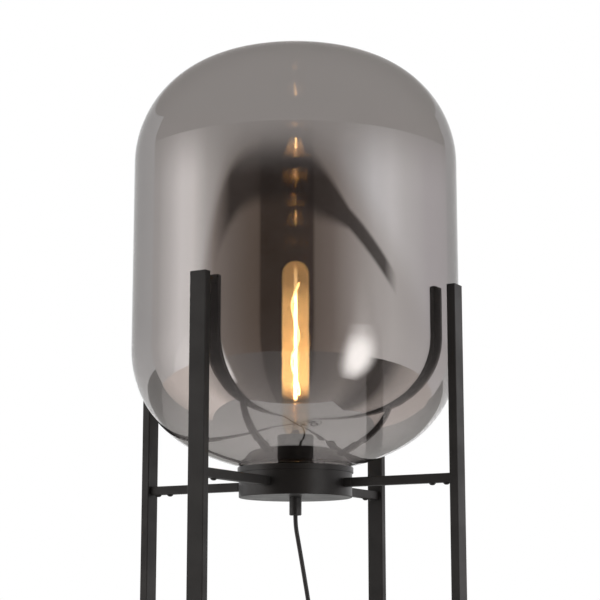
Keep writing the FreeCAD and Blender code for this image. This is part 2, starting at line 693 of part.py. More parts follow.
def bulb_cap():
    """Thin metal cap; its rolled thread is drawn as round ridges."""
    ridge_pitch = CAP_LENGTH / (CAP_RIDGE_COUNT + 2)
    edges = []
    root = CAP_RADIUS - CAP_RIDGE
    height = CAP_BOTTOM + ridge_pitch
    edges.append(straight(plane_point(root, CAP_BOTTOM), plane_point(root, height)))
    for step in range(CAP_RIDGE_COUNT):
        top = height + ridge_pitch
        edges.append(Part.Arc(plane_point(root, height), plane_point(CAP_RADIUS, (height + top) / 2),
                              plane_point(root, top)).toShape())
        height = top
    inner = root - CAP_WALL
    edges.append(straight(plane_point(root, height), plane_point(root, CAP_TOP)))
    edges.append(straight(plane_point(root, CAP_TOP), plane_point(inner, CAP_TOP)))
    edges.append(straight(plane_point(inner, CAP_TOP), plane_point(inner, CAP_BOTTOM)))
    edges.append(straight(plane_point(inner, CAP_BOTTOM), plane_point(root, CAP_BOTTOM)))
    return revolved(edges)


def bulb_insulator():
    top_radius = CAP_RADIUS - CAP_RIDGE - INSULATOR_INSET
    return Part.makeCone(TIP_RADIUS, top_radius, INSULATOR_HEIGHT, point(0, 0, CAP_BOTTOM - INSULATOR_HEIGHT),
                         Z_AXIS).fuse(disc(CAP_RADIUS - CAP_RIDGE, CAP_BOTTOM - CAP_WALL, CAP_WALL))


def bulb_tip():
    tip = disc(TIP_RADIUS, BULB_TIP, TIP_HEIGHT)
    low_edges = [edge for edge in tip.Edges if edge.BoundBox.ZMax < BULB_TIP + EDGE_TOLERANCE]
    return tip.makeFillet(TIP_HEIGHT / 2, low_edges)


def bulb_glass():
    neck = CAP_RADIUS - CAP_RIDGE - CAP_WALL - CAP_GLASS_CLEARANCE
    neck_bottom = CAP_TOP - CAP_OVERLAP
    dome_z = BULB_TOP - BULB_RADIUS
    flare_top = CAP_TOP + BULB_NECK_LENGTH

    def wall(inset):
        return [
            straight(plane_point(neck - inset, neck_bottom), plane_point(neck - inset, CAP_TOP)),
            straight(plane_point(neck - inset, CAP_TOP), plane_point(BULB_RADIUS - inset, flare_top)),
            straight(plane_point(BULB_RADIUS - inset, flare_top), plane_point(BULB_RADIUS - inset, dome_z)),
            curve(0, dome_z, BULB_RADIUS - inset, 0, math.pi / 2),
        ]

    mouth = straight(plane_point(neck, neck_bottom), plane_point(neck - BULB_WALL, neck_bottom))
    crown = straight(plane_point(0, BULB_TOP), plane_point(0, BULB_TOP - BULB_WALL))
    return revolved(wall(0) + wall(BULB_WALL) + [mouth, crown])


def bulb_stem():
    """Glass mount: a flare that closes the neck and a rod up the middle."""
    neck_inner = CAP_RADIUS - CAP_RIDGE - CAP_WALL - CAP_GLASS_CLEARANCE - BULB_WALL
    bottom = CAP_TOP - CAP_OVERLAP
    rod_top = BULB_TOP - BULB_WALL - BULB_RADIUS / 2
    flare_top = bottom + STEM_FLARE_LENGTH
    return revolved_outline([(0, bottom), (neck_inner, bottom), (neck_inner, bottom + 2),
                             (STEM_ROD_RADIUS * 2, bottom + STEM_FLARE_LENGTH / 2),
                             (STEM_ROD_RADIUS, flare_top), (STEM_ROD_RADIUS, rod_top), (0, rod_top)])


def filament_point(share):
    angle = 2 * math.pi * FILAMENT_TURNS * share
    height = FILAMENT_BOTTOM + (FILAMENT_TOP - FILAMENT_BOTTOM) * share
    return point(FILAMENT_CURL_RADIUS * math.cos(angle), FILAMENT_CURL_RADIUS * math.sin(angle), height)


def bulb_supports():
    """Wires that reach from the glass rod to the filament's ends and middle."""
    wires = []
    for step in range(SUPPORT_COUNT):
        share = step / (SUPPORT_COUNT - 1)
        spot = filament_point(share)
        outward = FreeCAD.Vector(spot.x, spot.y, 0).normalize()
        start = outward * STEM_ROD_RADIUS + point(0, 0, spot.z)
        length = FILAMENT_CURL_RADIUS - FILAMENT_RADIUS - STEM_ROD_RADIUS - SUPPORT_END_GAP
        wires.append(Part.makeCylinder(SUPPORT_WIRE_RADIUS, length, start, outward))
    return wires


# ---- gland and wiring ----

def cord_gland():
    body = disc(GLAND_RADIUS, GLAND_BOTTOM, GLAND_LENGTH)
    low_edges = [edge for edge in body.Edges if edge.BoundBox.ZMax < GLAND_BOTTOM + EDGE_TOLERANCE]
    body = body.makeChamfer(GLAND_CHAMFER, low_edges)
    thread_hole = disc(NIPPLE_RADIUS + NIPPLE_FIT, CANISTER_BOTTOM - GLAND_THREAD_DEPTH, GLAND_THREAD_DEPTH)
    cord_hole = disc(CORD_RADIUS + SHEATH_CLEARANCE, GLAND_BOTTOM, GLAND_LENGTH)
    screw_hole = Part.makeCylinder(CLAMP_SCREW_RADIUS + SCREW_FIT, GLAND_RADIUS,
                                   point(0, 0, CANISTER_BOTTOM - CLAMP_SCREW_DROP), X_AXIS)
    return body.cut([thread_hole, cord_hole, screw_hole])


def clamp_screw():
    start = point(CORD_RADIUS, 0, CANISTER_BOTTOM - CLAMP_SCREW_DROP)
    return Part.makeCylinder(CLAMP_SCREW_RADIUS, GLAND_RADIUS - CORD_RADIUS - SCREW_FIT, start, X_AXIS)


def sheath_end():
    return disc(CORD_RADIUS, GLAND_BOTTOM, CANISTER_BOTTOM + SHEATH_RISE - GLAND_BOTTOM)


def inner_wires():
    """One wire up to the centre contact, the other over to the side contact."""
    apart = (WIRE_DIAMETER + WIRE_GAP) / 2
    start_z = CANISTER_BOTTOM + SHEATH_RISE
    lid_z = CANISTER_TOP - NUT_THICKNESS
    stem_z = HOLDER_FLOOR - HOLDER_FLOOR_THICKNESS - CONTACT_STEM_DROP
    cross_z = stem_z - WIRE_DIAMETER / 2 - WIRE_GAP
    knee_z = LID_FACE + HOLDER_NIPPLE_RISE - WIRE_DIAMETER / 2
    half_z = (start_z + lid_z) / 2
    to_centre = [point(-apart, 0, start_z), point(-1.4 * apart, 0, half_z), point(-1.2 * apart, 0, lid_z),
                 point(-0.3 * apart, 0, knee_z), point(0, 0, stem_z)]
    to_side = [point(apart, 0, start_z), point(1.6 * apart, 0, half_z), point(1.7 * apart, 0, lid_z),
               point(1.75 * apart, 0, knee_z), point(2.8 * apart, 0, cross_z), point(SIDE_CONTACT_OFFSET, 0, cross_z)]
    return [routed_tube(to_centre, WIRE_DIAMETER), routed_tube(to_side, WIRE_DIAMETER)]


# ---- cord: routes chosen by hand, coil worked out ----

# How far the hanging stretch has swung out at each height above the floor.
HANG_PROFILE = [(0, GLAND_BOTTOM), (0, 941), (3.4, 922), (8.6, 892), (17.2, 840), (25.2, 765), (30.2, 690),
                (33.2, 615), (34.8, 540), (35.5, 465), (35.9, 390), (36.8, 315), (38.9, 240), (42.6, 170),
                (47.6, 112)]
LANDING_POINTS = [(46.9, 26.9, 72), (58.7, 32.4, 40), (76.6, 38.9, 17), (92.5, 43.3, INLET_Z),
                  (107.8, 46.0, INLET_Z)]
FLOOR_POINTS = [(183.6, 59.4, INLET_Z), (196.2, 68.5, 5.2), (203.4, 82.8, 3.0), (202.7, 102.7, 2.6),
                (191.4, 123.9, 2.6), (174.3, 143.5, 3.2), (149.9, 152.4, 3.8)]
TAIL_POINTS = [(98.0, 154.65, COIL_HIGH_Z), (81.0, 153.5, 7.4), (66.1, 147.8, 5.0), (55.0, 137.8, 5.0),
               (48.6, 125.3, 6.9)]
SWITCH_ENTRY = LANDING_POINTS[-1]


def vectors(places):
    return [point(x, y, z) for x, y, z in places]


def cord_drop():
    hanging = [heading(HANG_HEADING) * out + point(0, 0, height) for out, height in HANG_PROFILE]
    return routed_tube(hanging + vectors(LANDING_POINTS), CORD_DIAMETER, "cord_drop")


def coil_point(swept):
    """A place on the coil's centre line: in along the floor, up a layer, and out on top."""
    inward = FULL_TURN * COIL_TURNS_IN
    radius, height = COIL_OUTER_RADIUS - COIL_PITCH * swept / FULL_TURN, COIL_LOW_Z
    if swept > inward + HALF_TURN:
        radius = COIL_INNER_RADIUS + COIL_PITCH * (swept - inward - HALF_TURN) / FULL_TURN
        height = COIL_HIGH_Z
    elif swept > inward:
        climbed = (1 - math.cos(math.radians(swept - inward))) / 2
        radius, height = COIL_INNER_RADIUS, COIL_LOW_Z + COIL_LAYER_STEP * climbed
    return point(COIL_CENTRE_X, COIL_CENTRE_Y, height) + heading(COIL_START_ANGLE + swept) * radius


def coil_way(swept):
    step = 0.5
    return (coil_point(swept + step) - coil_point(swept - step)).normalize()


COIL_SWEEP = FULL_TURN * (COIL_TURNS_IN + COIL_TURNS_OUT) + HALF_TURN
COIL_FIRST_WAY = heading(COIL_START_ANGLE + QUARTER_TURN)
COIL_LAST_WAY = heading(COIL_START_ANGLE + COIL_SWEEP + QUARTER_TURN)
COIL_START = coil_point(0) - COIL_FIRST_WAY * COIL_END_STRAIGHT
COIL_END = coil_point(COIL_SWEEP) + COIL_LAST_WAY * COIL_END_STRAIGHT


def cord_coil():
    quarters = int(round(COIL_SWEEP / QUARTER_TURN))
    angles = [QUARTER_TURN * step for step in range(quarters + 1)]
    edges = [straight(COIL_START, coil_point(0))]
    ways = [COIL_FIRST_WAY] + [coil_way(angle) for angle in angles[1:-1]] + [COIL_LAST_WAY]
    for step in range(quarters):
        edges += biarc_edges(coil_point(angles[step]), ways[step], coil_point(angles[step + 1]), ways[step + 1])
    edges.append(straight(coil_point(COIL_SWEEP), COIL_END))
    wire = Part.Wire(edges)
    coil = tube_on(wire, COIL_START, COIL_FIRST_WAY, CORD_DIAMETER)
    samples = wire.discretize(Distance=COIL_SAMPLE_STEP)
    half_turn = int(math.pi * COIL_INNER_RADIUS / COIL_SAMPLE_STEP)
    apart = min(a.distanceToPoint(b) for i, a in enumerate(samples) for b in samples[i + half_turn:])
    print("cord_coil length %.1f, least gap to itself %.2f" % (wire.Length, apart - CORD_DIAMETER))
    expected = math.pi * CORD_RADIUS ** 2 * wire.Length
    print("cord_coil volume %.1f, section x length %.1f" % (coil.Volume, expected))
    return coil


def cord_floor_run():
    start = point(*SWITCH_ENTRY) + heading(SWITCH_HEADING) * SWITCH_LENGTH
    return routed_tube([start] + vectors(FLOOR_POINTS) + [COIL_START], CORD_DIAMETER, "cord_floor_run")


def cord_tail():
    return routed_tube([COIL_END] + vectors(TAIL_POINTS) + [point(*PLUG_START)], CORD_DIAMETER, "cord_tail")


def coil_tie():
    """A flat band round all the turns at one side of the coil."""
    reach = [spot.x - COIL_CENTRE_X
             for spot in (coil_point(swept) for swept in range(0, int(COIL_SWEEP) + 1))
             if abs(spot.y - COIL_CENTRE_Y) < TIE_WIDTH / 2 and spot.x > COIL_CENTRE_X]
    near = min(reach) - CORD_RADIUS - TIE_CLEARANCE
    far = max(reach) + CORD_RADIUS + TIE_CLEARANCE
    low, high = COIL_LOW_Z - CORD_RADIUS - TIE_CLEARANCE, COIL_HIGH_Z + CORD_RADIUS + TIE_CLEARANCE
    skin = TIE_THICKNESS
    band = eased(block(near - skin, far + skin, TIE_WIDTH, low - skin, high + skin), CORD_RADIUS, Y_AXIS)
    band = band.cut(eased(block(near, far, TIE_WIDTH, low, high), CORD_RADIUS - skin, Y_AXIS))
    band.translate(point(COIL_CENTRE_X, COIL_CENTRE_Y, 0))
    return band


# ---- foot switch, drawn along +X from its cord inlet and then placed ----

def placed_switch(shape):
    shape = turned(shape, SWITCH_HEADING)
    shape.translate(point(SWITCH_ENTRY[0], SWITCH_ENTRY[1], 0))
    return shape


def switch_slab(inset, low, high):
    slab = block(inset, SWITCH_LENGTH - inset, SWITCH_WIDTH - 2 * inset, low, high)
    return eased(slab, SWITCH_CORNER_RADIUS - inset, Z_AXIS)


def switch_screw_places():
    aside = SWITCH_WIDTH / 2 - SWITCH_SCREW_FROM_SIDE
    return [(SWITCH_SCREW_FROM_END, aside), (SWITCH_LENGTH - SWITCH_SCREW_FROM_END, -aside)]


def inlet_bore(radius):
    return Part.makeCylinder(radius, SWITCH_LENGTH, point(0, 0, INLET_Z), X_AXIS)


def switch_base():
    base = switch_slab(0, 0, SWITCH_BASE_HEIGHT).cut(switch_slab(SWITCH_WALL, SWITCH_WALL, SWITCH_BASE_HEIGHT))
    for x, y in switch_screw_places():
        base = base.fuse(disc(SWITCH_BOSS_RADIUS, SWITCH_WALL, SWITCH_BASE_HEIGHT - SWITCH_WALL, x, y))
        base = base.cut(disc(SWITCH_SCREW_RADIUS + SCREW_FIT, 0, SWITCH_BASE_HEIGHT, x, y))
        base = base.cut(disc(SWITCH_SCREW_HEAD_RADIUS + SCREW_FIT, 0, SWITCH_SCREW_HEAD_HEIGHT, x, y))
    return base.cut(inlet_bore(CORD_RADIUS + SWITCH_INLET_CLEARANCE))


def switch_cover():
    outer = switch_slab(0, SWITCH_BASE_HEIGHT, SWITCH_TOP)
    top_edges = [edge for edge in outer.Edges if edge.BoundBox.ZMin > SWITCH_TOP - EDGE_TOLERANCE]
    cover = outer.makeFillet(SWITCH_TOP_FILLET, top_edges)
    cover = cover.cut(switch_slab(SWITCH_WALL, SWITCH_BASE_HEIGHT, SWITCH_TOP - SWITCH_WALL))
    cover = cover.cut(disc(BUTTON_RADIUS + BUTTON_CLEARANCE, SWITCH_BASE_HEIGHT, SWITCH_COVER_HEIGHT,
                           SWITCH_LENGTH / 2))
    for x, y in switch_screw_places():
        cover = cover.fuse(disc(SWITCH_BOSS_RADIUS, SWITCH_BASE_HEIGHT, SWITCH_COVER_HEIGHT - SWITCH_WALL, x, y))
        cover = cover.cut(disc(SWITCH_SCREW_RADIUS + SCREW_FIT, SWITCH_BASE_HEIGHT,
                               SWITCH_SCREW_LENGTH - SWITCH_BASE_HEIGHT + SWITCH_SCREW_TIP_ROOM, x, y))
    return cover.cut(inlet_bore(CORD_RADIUS + SWITCH_INLET_CLEARANCE))


def switch_screw(x, y):
    head = disc(SWITCH_SCREW_HEAD_RADIUS, 0, SWITCH_SCREW_HEAD_HEIGHT, x, y)
    shank = disc(SWITCH_SCREW_RADIUS, 0, SWITCH_SCREW_LENGTH, x, y)
    slot = block(x - SWITCH_SCREW_HEAD_RADIUS, x + SWITCH_SCREW_HEAD_RADIUS, SLOT_WIDTH, 0, SLOT_DEPTH)
    slot.translate(point(0, y, 0))
    return head.fuse(shank).cut(slot)


BLOCK_TOP = SWITCH_WALL + CONTACT_BLOCK_HEIGHT
BUTTON_FOOT = SWITCH_TOP - SWITCH_WALL - BUTTON_REST_GAP - BUTTON_FLANGE_THICKNESS
STEM_FOOT = BLOCK_TOP - BUTTON_STEM_ENTRY


def switch_button():
    middle = SWITCH_LENGTH / 2
    height = SWITCH_TOP + BUTTON_PROUD - BUTTON_FOOT
    knob = disc(BUTTON_RADIUS, BUTTON_FOOT, height, middle)
    top_edges = [edge for edge in knob.Edges if edge.BoundBox.ZMin > SWITCH_TOP + BUTTON_PROUD - EDGE_TOLERANCE]
    knob = knob.makeFillet(BUTTON_TOP_FILLET, top_edges)
    flange = disc(BUTTON_RADIUS + BUTTON_FLANGE, BUTTON_FOOT, BUTTON_FLANGE_THICKNESS, middle)
    stem = disc(BUTTON_STEM_RADIUS, STEM_FOOT, BUTTON_FOOT - STEM_FOOT, middle)
    return knob.fuse([flange, stem])


def contact_block():
    middle = SWITCH_LENGTH / 2
    body = block(middle - CONTACT_BLOCK_LENGTH / 2, middle + CONTACT_BLOCK_LENGTH / 2, CONTACT_BLOCK_WIDTH,
                 SWITCH_WALL, BLOCK_TOP)
    well_floor = STEM_FOOT - BUTTON_TRAVEL - BUTTON_REST_GAP
    return body.cut(disc(BUTTON_STEM_RADIUS + CONTACT_WELL_CLEARANCE, well_floor, BLOCK_TOP - well_floor, middle))


def switch_sheath_ends():
    far = SWITCH_LENGTH - SWITCH_SHEATH_LENGTH
    return [Part.makeCylinder(CORD_RADIUS, SWITCH_SHEATH_LENGTH, point(x, 0, INLET_Z), X_AXIS) for x in (0, far)]


def switch_wires():
    near_end = SWITCH_SHEATH_LENGTH
    near_block = (SWITCH_LENGTH - CONTACT_BLOCK_LENGTH) / 2
    wires = []
    for start in (near_end, SWITCH_LENGTH - near_block):
        for side in (-1, 1):
            y = side * (WIRE_DIAMETER + WIRE_GAP) / 2
            near = point(start, y, INLET_Z)
            wires.append(Part.makeCylinder(WIRE_DIAMETER / 2, near_block - near_end, near, X_AXIS))
    return wires


# ---- plug, drawn along +X from the tip of its strain relief and then placed ----

PLUG_Z = PLUG_THICKNESS / 2 + CORD_FLOOR_GAP
PLUG_START = (47.4, 111.3, PLUG_Z)


def placed_plug(shape):
    shape = turned(shape, PLUG_HEADING)
    shape.translate(point(*PLUG_START))
    return shape


def plug_relief():
    return Part.makeCone(PLUG_RELIEF_TIP_RADIUS, PLUG_RELIEF_ROOT_RADIUS, PLUG_RELIEF_LENGTH, ORIGIN, X_AXIS)


def plug_body():
    near, far = PLUG_RELIEF_LENGTH, PLUG_RELIEF_LENGTH + PLUG_LENGTH
    waist = near + PLUG_LENGTH / 2
    half_neck, half_width = PLUG_NECK_WIDTH / 2, PLUG_WIDTH / 2
    corners = [(near, -half_neck), (waist, -half_width), (far, -half_width), (far, half_width),
               (waist, half_width), (near, half_neck), (near, -half_neck)]
    outline = Part.makePolygon([point(x, y, -PLUG_THICKNESS / 2) for x, y in corners])
    body = Part.Face(outline).extrude(point(0, 0, PLUG_THICKNESS))
    body = eased(body, PLUG_EDGE_RADIUS, Z_AXIS)
    rims = [edge for edge in body.Edges if abs(edge.BoundBox.ZMax - edge.BoundBox.ZMin) < EDGE_TOLERANCE]
    body = body.makeFillet(PLUG_RIM_RADIUS, rims)
    for side in (-1, 1):
        inner_end = point(far - PIN_EMBED, side * PIN_SPACING / 2, 0)
        body = body.cut(Part.makeCylinder(PIN_RADIUS + SCREW_FIT, PIN_EMBED, inner_end, X_AXIS))
    return body


def plug_pins():
    start = PLUG_RELIEF_LENGTH + PLUG_LENGTH - PIN_EMBED
    pins = []
    for side in (-1, 1):
        inner_end = point(start, side * PIN_SPACING / 2, 0)
        pin = Part.makeCylinder(PIN_RADIUS, PIN_EMBED + PIN_LENGTH, inner_end, X_AXIS)
        pin_end = start + PIN_EMBED + PIN_LENGTH
        tip = [edge for edge in pin.Edges if edge.BoundBox.XMin > pin_end - EDGE_TOLERANCE]
        pins.append(pin.makeFillet(PIN_RADIUS / 2, tip))
    return pins


# ---- every piece, written out ----

os.makedirs("parts", exist_ok=True)

for name in QUARTERS:
    save("leg_" + name, turned(leg(), quarter_turn(name)))
save("leg_top_caps", *on_all_quarters(leg_top_cap()))
save("foot_glides", *on_all_quarters(foot_glide()))

upper_bar = with_screw_holes(bar_tube(BAR_ROOT_FACE, LEG_INNER_FACE, UPPER_BAR_HEIGHT), UPPER_BAR_HEIGHT)
for name in QUARTERS:
    save("upper_bar_" + name, turned(upper_bar, quarter_turn(name)))
save("bar_root_stumps", *on_all_quarters(bar_root()))
save("upper_joint_stubs", *on_all_quarters(stub(UPPER_BAR_HEIGHT)))

half_bar = with_screw_holes(bar_tube(BAR_SIDE / 2, LEG_INNER_FACE, LOWER_BAR_HEIGHT), LOWER_BAR_HEIGHT)
long_bar = bar_tube(-LEG_INNER_FACE, LEG_INNER_FACE, LOWER_BAR_HEIGHT)
for end in range(2):
    long_bar = turned(with_screw_holes(long_bar, LOWER_BAR_HEIGHT), HALF_TURN)
save("lower_bar_long", long_bar)
save("lower_bar_front", turned(half_bar, quarter_turn("front")))
save("lower_bar_rear", turned(half_bar, quarter_turn("rear")))
save("lower_joint_stubs", *on_all_quarters(stub(LOWER_BAR_HEIGHT)))

for level, height in (("upper", UPPER_BAR_HEIGHT), ("lower", LOWER_BAR_HEIGHT)):
    screws = []
    for place in screw_places():
        screws += on_all_quarters(joint_screw(place, height))
    save(level + "_joint_screws", *screws)

save("canister_drum", canister())
save("canister_lid", lid())
save("lid_lugs", *[lid_lug(angle) for angle in lug_places()])
save("lid_screws", *[lid_screw(angle) for angle in lug_places()])
save("seat_ring", seat_ring())
save("glass_shade", glass_shade())

save("lampholder_sleeve", holder_sleeve())
save("lampholder_body", holder_body())
save("lampholder_screw_shell", thread_shell())
save("lampholder_centre_contact", centre_contact())
save("lampholder_side_contact", side_contact_box(0))
holder_tube = hollow_thread(CANISTER_TOP - HOLDER_NIPPLE_DROP, LID_FACE + HOLDER_NIPPLE_RISE)
save("lampholder_threaded_tube", holder_tube)

save("bulb_cap", bulb_cap())
save("bulb_insulator", bulb_insulator())
save("bulb_tip_contact", bulb_tip())
save("bulb_glass", bulb_glass())
save("bulb_stem", bulb_stem())
filament = helix_tube(FILAMENT_CURL_RADIUS, FILAMENT_BOTTOM, FILAMENT_TOP, FILAMENT_TURNS, FILAMENT_RADIUS)
save("bulb_filament", filament)
save("bulb_supports", *bulb_supports())

save("cord_gland", cord_gland())
gland_tube = hollow_thread(CANISTER_BOTTOM - GLAND_THREAD_DEPTH, CANISTER_BOTTOM + GLAND_NIPPLE_RISE)
save("gland_threaded_tube", gland_tube)
save("gland_washer", ring(WASHER_RADIUS, NIPPLE_RADIUS + NIPPLE_FIT, CANISTER_FLOOR, WASHER_THICKNESS))
gland_nut = hex_nut(CANISTER_FLOOR + WASHER_THICKNESS)
holder_nut = hex_nut(CANISTER_TOP - NUT_THICKNESS)
save("threaded_tube_nuts", gland_nut, holder_nut)
save("gland_clamp_screw", clamp_screw())
save("cord_sheath_end", sheath_end())
save("inner_wires", *inner_wires())

save("cord_drop", cord_drop())
save("cord_floor_run", cord_floor_run())
save("cord_coil", cord_coil())
save("cord_tail", cord_tail())
save("coil_tie", coil_tie())

save("foot_switch_base", placed_switch(switch_base()))
save("foot_switch_cover", placed_switch(switch_cover()))
save("foot_switch_screws", *[placed_switch(switch_screw(x, y)) for x, y in switch_screw_places()])
save("foot_switch_button", placed_switch(switch_button()))
save("foot_switch_contact_block", placed_switch(contact_block()))
save("foot_switch_wires", *[placed_switch(wire) for wire in switch_sheath_ends() + switch_wires()])

save("plug_body", placed_plug(plug_body()))
save("plug_pins", *[placed_plug(pin) for pin in plug_pins()])
save("plug_strain_relief", placed_plug(plug_relief()))
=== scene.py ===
import bpy
import math
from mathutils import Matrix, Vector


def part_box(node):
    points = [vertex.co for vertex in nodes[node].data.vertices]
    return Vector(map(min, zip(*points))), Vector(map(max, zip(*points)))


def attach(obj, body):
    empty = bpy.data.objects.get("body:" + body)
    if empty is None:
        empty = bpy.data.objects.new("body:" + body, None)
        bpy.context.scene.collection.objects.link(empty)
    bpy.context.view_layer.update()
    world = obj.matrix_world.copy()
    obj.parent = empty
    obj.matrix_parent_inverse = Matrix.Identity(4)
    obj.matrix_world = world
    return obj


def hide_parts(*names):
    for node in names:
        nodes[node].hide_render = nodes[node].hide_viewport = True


# A floor lamp: a tall smoked mirror glass shade on a round black canister, which four cross bars
# carry between four upright legs. The sections follow the lamp as it is put together.
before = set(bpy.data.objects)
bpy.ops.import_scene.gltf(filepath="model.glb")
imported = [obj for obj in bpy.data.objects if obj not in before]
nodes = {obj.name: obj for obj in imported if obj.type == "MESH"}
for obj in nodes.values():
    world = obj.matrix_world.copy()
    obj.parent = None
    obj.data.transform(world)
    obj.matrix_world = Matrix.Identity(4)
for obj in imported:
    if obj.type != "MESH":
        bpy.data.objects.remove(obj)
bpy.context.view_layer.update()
bpy.ops.object.select_all(action="DESELECT")


# ---------------------------------------------------------------- camera
# A level long lens in front of the lamp, between the front leg and the right one, that looks up a
# little so that the shade and the canister fill the picture and the feet are out of it.
bpy.ops.object.camera_add(location=(0.9491, -1.6459, 0.8365),
                          rotation=(math.radians(100.179), 0, math.radians(29.812)))
camera = bpy.context.object
camera.name = "photo_camera"
camera.data.sensor_width = 36
camera.data.lens = 99.289
camera.data.shift_y = 0.035
camera.data.clip_end = 60
bpy.context.scene.camera = camera


# ---------------------------------------------------------------- cord from the gland to the foot switch
# A round two-core mains cord with a smooth black sheath. It is clamped in the gland, hangs down
# with a slight set to one side, turns onto the floor and runs straight into the foot switch.
cord_diameter = 0.005
hang_heading = math.radians(30)
hang_profile = [(0, 0.952), (0, 0.941), (0.0034, 0.922), (0.0086, 0.892), (0.0172, 0.840), (0.0252, 0.765),
                (0.0302, 0.690), (0.0332, 0.615), (0.0348, 0.540), (0.0355, 0.465), (0.0359, 0.390),
                (0.0368, 0.315), (0.0389, 0.240), (0.0426, 0.170), (0.0476, 0.112)]
switch_height = 0.008
switch_entry = (0.1078, 0.0460, switch_height)
drop_route = [(out * math.cos(hang_heading), out * math.sin(hang_heading), z) for out, z in hang_profile]
drop_route += [(0.0469, 0.0269, 0.072), (0.0587, 0.0324, 0.040), (0.0766, 0.0389, 0.017),
               (0.0925, 0.0433, switch_height), switch_entry]


def draw_round_cord(name, route, half_thickness, steps, roundness):
    """A round cord along the route, whose first and last points it reaches."""
    data = bpy.data.curves.new(name, "CURVE")
    data.dimensions = "3D"
    spline = data.splines.new("NURBS")
    spline.points.add(len(route) - 1)
    for point, place in zip(spline.points, route):
        point.co = (*place, 1)
        point.radius = half_thickness
    spline.order_u = 3
    spline.use_endpoint_u = True
    spline.resolution_u = steps
    data.bevel_depth = 1
    data.bevel_resolution = roundness
    data.use_fill_caps = True
    cord = bpy.data.objects.new(name, data)
    bpy.context.collection.objects.link(cord)
    return cord


hanging_cord = draw_round_cord("hanging_cord", drop_route, cord_diameter / 2, steps=12, roundness=6)
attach(hanging_cord, "stand")
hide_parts("cord_drop")


# ---------------------------------------------------------------- cord from the foot switch to the plug
# The same cord leaves the switch, bends round on the floor and is wound into a coil for storage:
# three turns in along the floor, up one layer, two and a half turns out, then over to the plug.
switch_heading = math.radians(10)
switch_length = 0.062
lead_start = (switch_entry[0] + switch_length * math.cos(switch_heading),
              switch_entry[1] + switch_length * math.sin(switch_heading), switch_height)
lead_route = [lead_start, (0.1836, 0.0594, switch_height), (0.1962, 0.0685, 0.0052), (0.2034, 0.0828, 0.0030),
              (0.2027, 0.1027, 0.0026), (0.1914, 0.1239, 0.0026), (0.1743, 0.1435, 0.0032),
              (0.1499, 0.1524, 0.0038), (0.12599, 0.15501, 0.0038)]

coil_centre = (0.1169, 0.1163)
coil_inner, coil_pitch = 0.0204, 0.00635
coil_outer = coil_inner + 3 * coil_pitch
coil_low, coil_step = 0.0038, 0.0056
coil_start_angle, coil_parts = 84, 96
# Degrees wound by the end of the turns in, of the way up a layer, and of the turns out.
swept_in, swept_up, swept_all = 1080, 1260, 2160
for part in range(coil_parts + 1):
    swept = part * swept_all / coil_parts
    if swept <= swept_in:
        radius, height = coil_outer - coil_pitch * swept / 360, coil_low
    elif swept <= swept_up:
        radius = coil_inner
        height = coil_low + coil_step * (1 - math.cos(math.radians(swept - swept_in))) / 2
    else:
        radius, height = coil_inner + coil_pitch * (swept - swept_up) / 360, coil_low + coil_step
    angle = math.radians(coil_start_angle + swept)
    lead_route.append((coil_centre[0] + radius * math.cos(angle),
                       coil_centre[1] + radius * math.sin(angle), height))

plug_height = 0.0069
plug_entry = (0.0474, 0.1113, plug_height)
lead_route += [(0.11572, 0.15290, 0.0094), (0.0980, 0.15465, 0.0094), (0.0810, 0.1535, 0.0074),
               (0.0661, 0.1478, 0.0050), (0.0550, 0.1378, 0.0050), (0.0486, 0.1253, plug_height), plug_entry]

floor_cord = draw_round_cord("floor_cord", lead_route, cord_diameter / 2, steps=6, roundness=5)
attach(floor_cord, "stand")
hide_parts("cord_floor_run", "cord_coil", "cord_tail")


def start_material(name, sockets=None):
    """A new material, its nodes and its surface shader with the given sockets set."""
    material = bpy.data.materials.new(name)
    material.use_nodes = True
    shader = material.node_tree.nodes["Principled BSDF"]
    for socket, value in (sockets or {}).items():
        shader.inputs[socket].default_value = value
    return material, material.node_tree.nodes, shader


def add_node(tree_nodes, kind, sockets=None, **settings):
    """A new shader node of one kind, with its settings made before its sockets are set."""
    node = tree_nodes.new("ShaderNode" + kind)
    for setting, value in settings.items():
        setattr(node, setting, value)
    for socket, value in (sockets or {}).items():
        node.inputs[socket].default_value = value
    return node


def join(source, output, target, socket):
    """A link from one node's output to a socket of another node."""
    source.id_data.links.new(source.outputs[output], target.inputs[socket])


# The sheath: black PVC with the faint ripple of the two twisted cores under it and a few dull rubs.
sheath_material, sheath_nodes, sheath_shader = start_material(
    "black_cord_sheath", {"Base Color": (0.018, 0.017, 0.017, 1), "Specular IOR Level": 0.45})
sheath_place = add_node(sheath_nodes, "TexCoord")
sheath_rub = add_node(sheath_nodes, "TexNoise", {"Scale": 55, "Detail": 4})
sheath_rough = add_node(sheath_nodes, "MapRange", {"From Min": 0.3, "From Max": 0.7, "To Min": 0.36,
                        "To Max": 0.58})
sheath_ripple = add_node(sheath_nodes, "TexNoise", {"Scale": 420, "Detail": 2})
sheath_bump = add_node(sheath_nodes, "Bump", {"Strength": 0.25, "Distance": 0.0004})
join(sheath_place, "Object", sheath_rub, "Vector")
join(sheath_place, "Object", sheath_ripple, "Vector")
join(sheath_rub, "Fac", sheath_rough, "Value")
join(sheath_rough, "Result", sheath_shader, "Roughness")
join(sheath_ripple, "Fac", sheath_bump, "Height")
join(sheath_bump, "Normal", sheath_shader, "Normal")
hanging_cord.data.materials.append(sheath_material)
floor_cord.data.materials.append(sheath_material)


# ---------------------------------------------------------------- studio: floor, room, soft lights
# A pale paper floor with a white surround. Soft lights stand left, right and low on the right, and
# one hangs overhead. The room behind the camera shows only in the mirror of the glass.
bpy.ops.mesh.primitive_plane_add(size=16, location=(0, 0, 0))
floor = bpy.context.object
floor.name = "paper_floor"


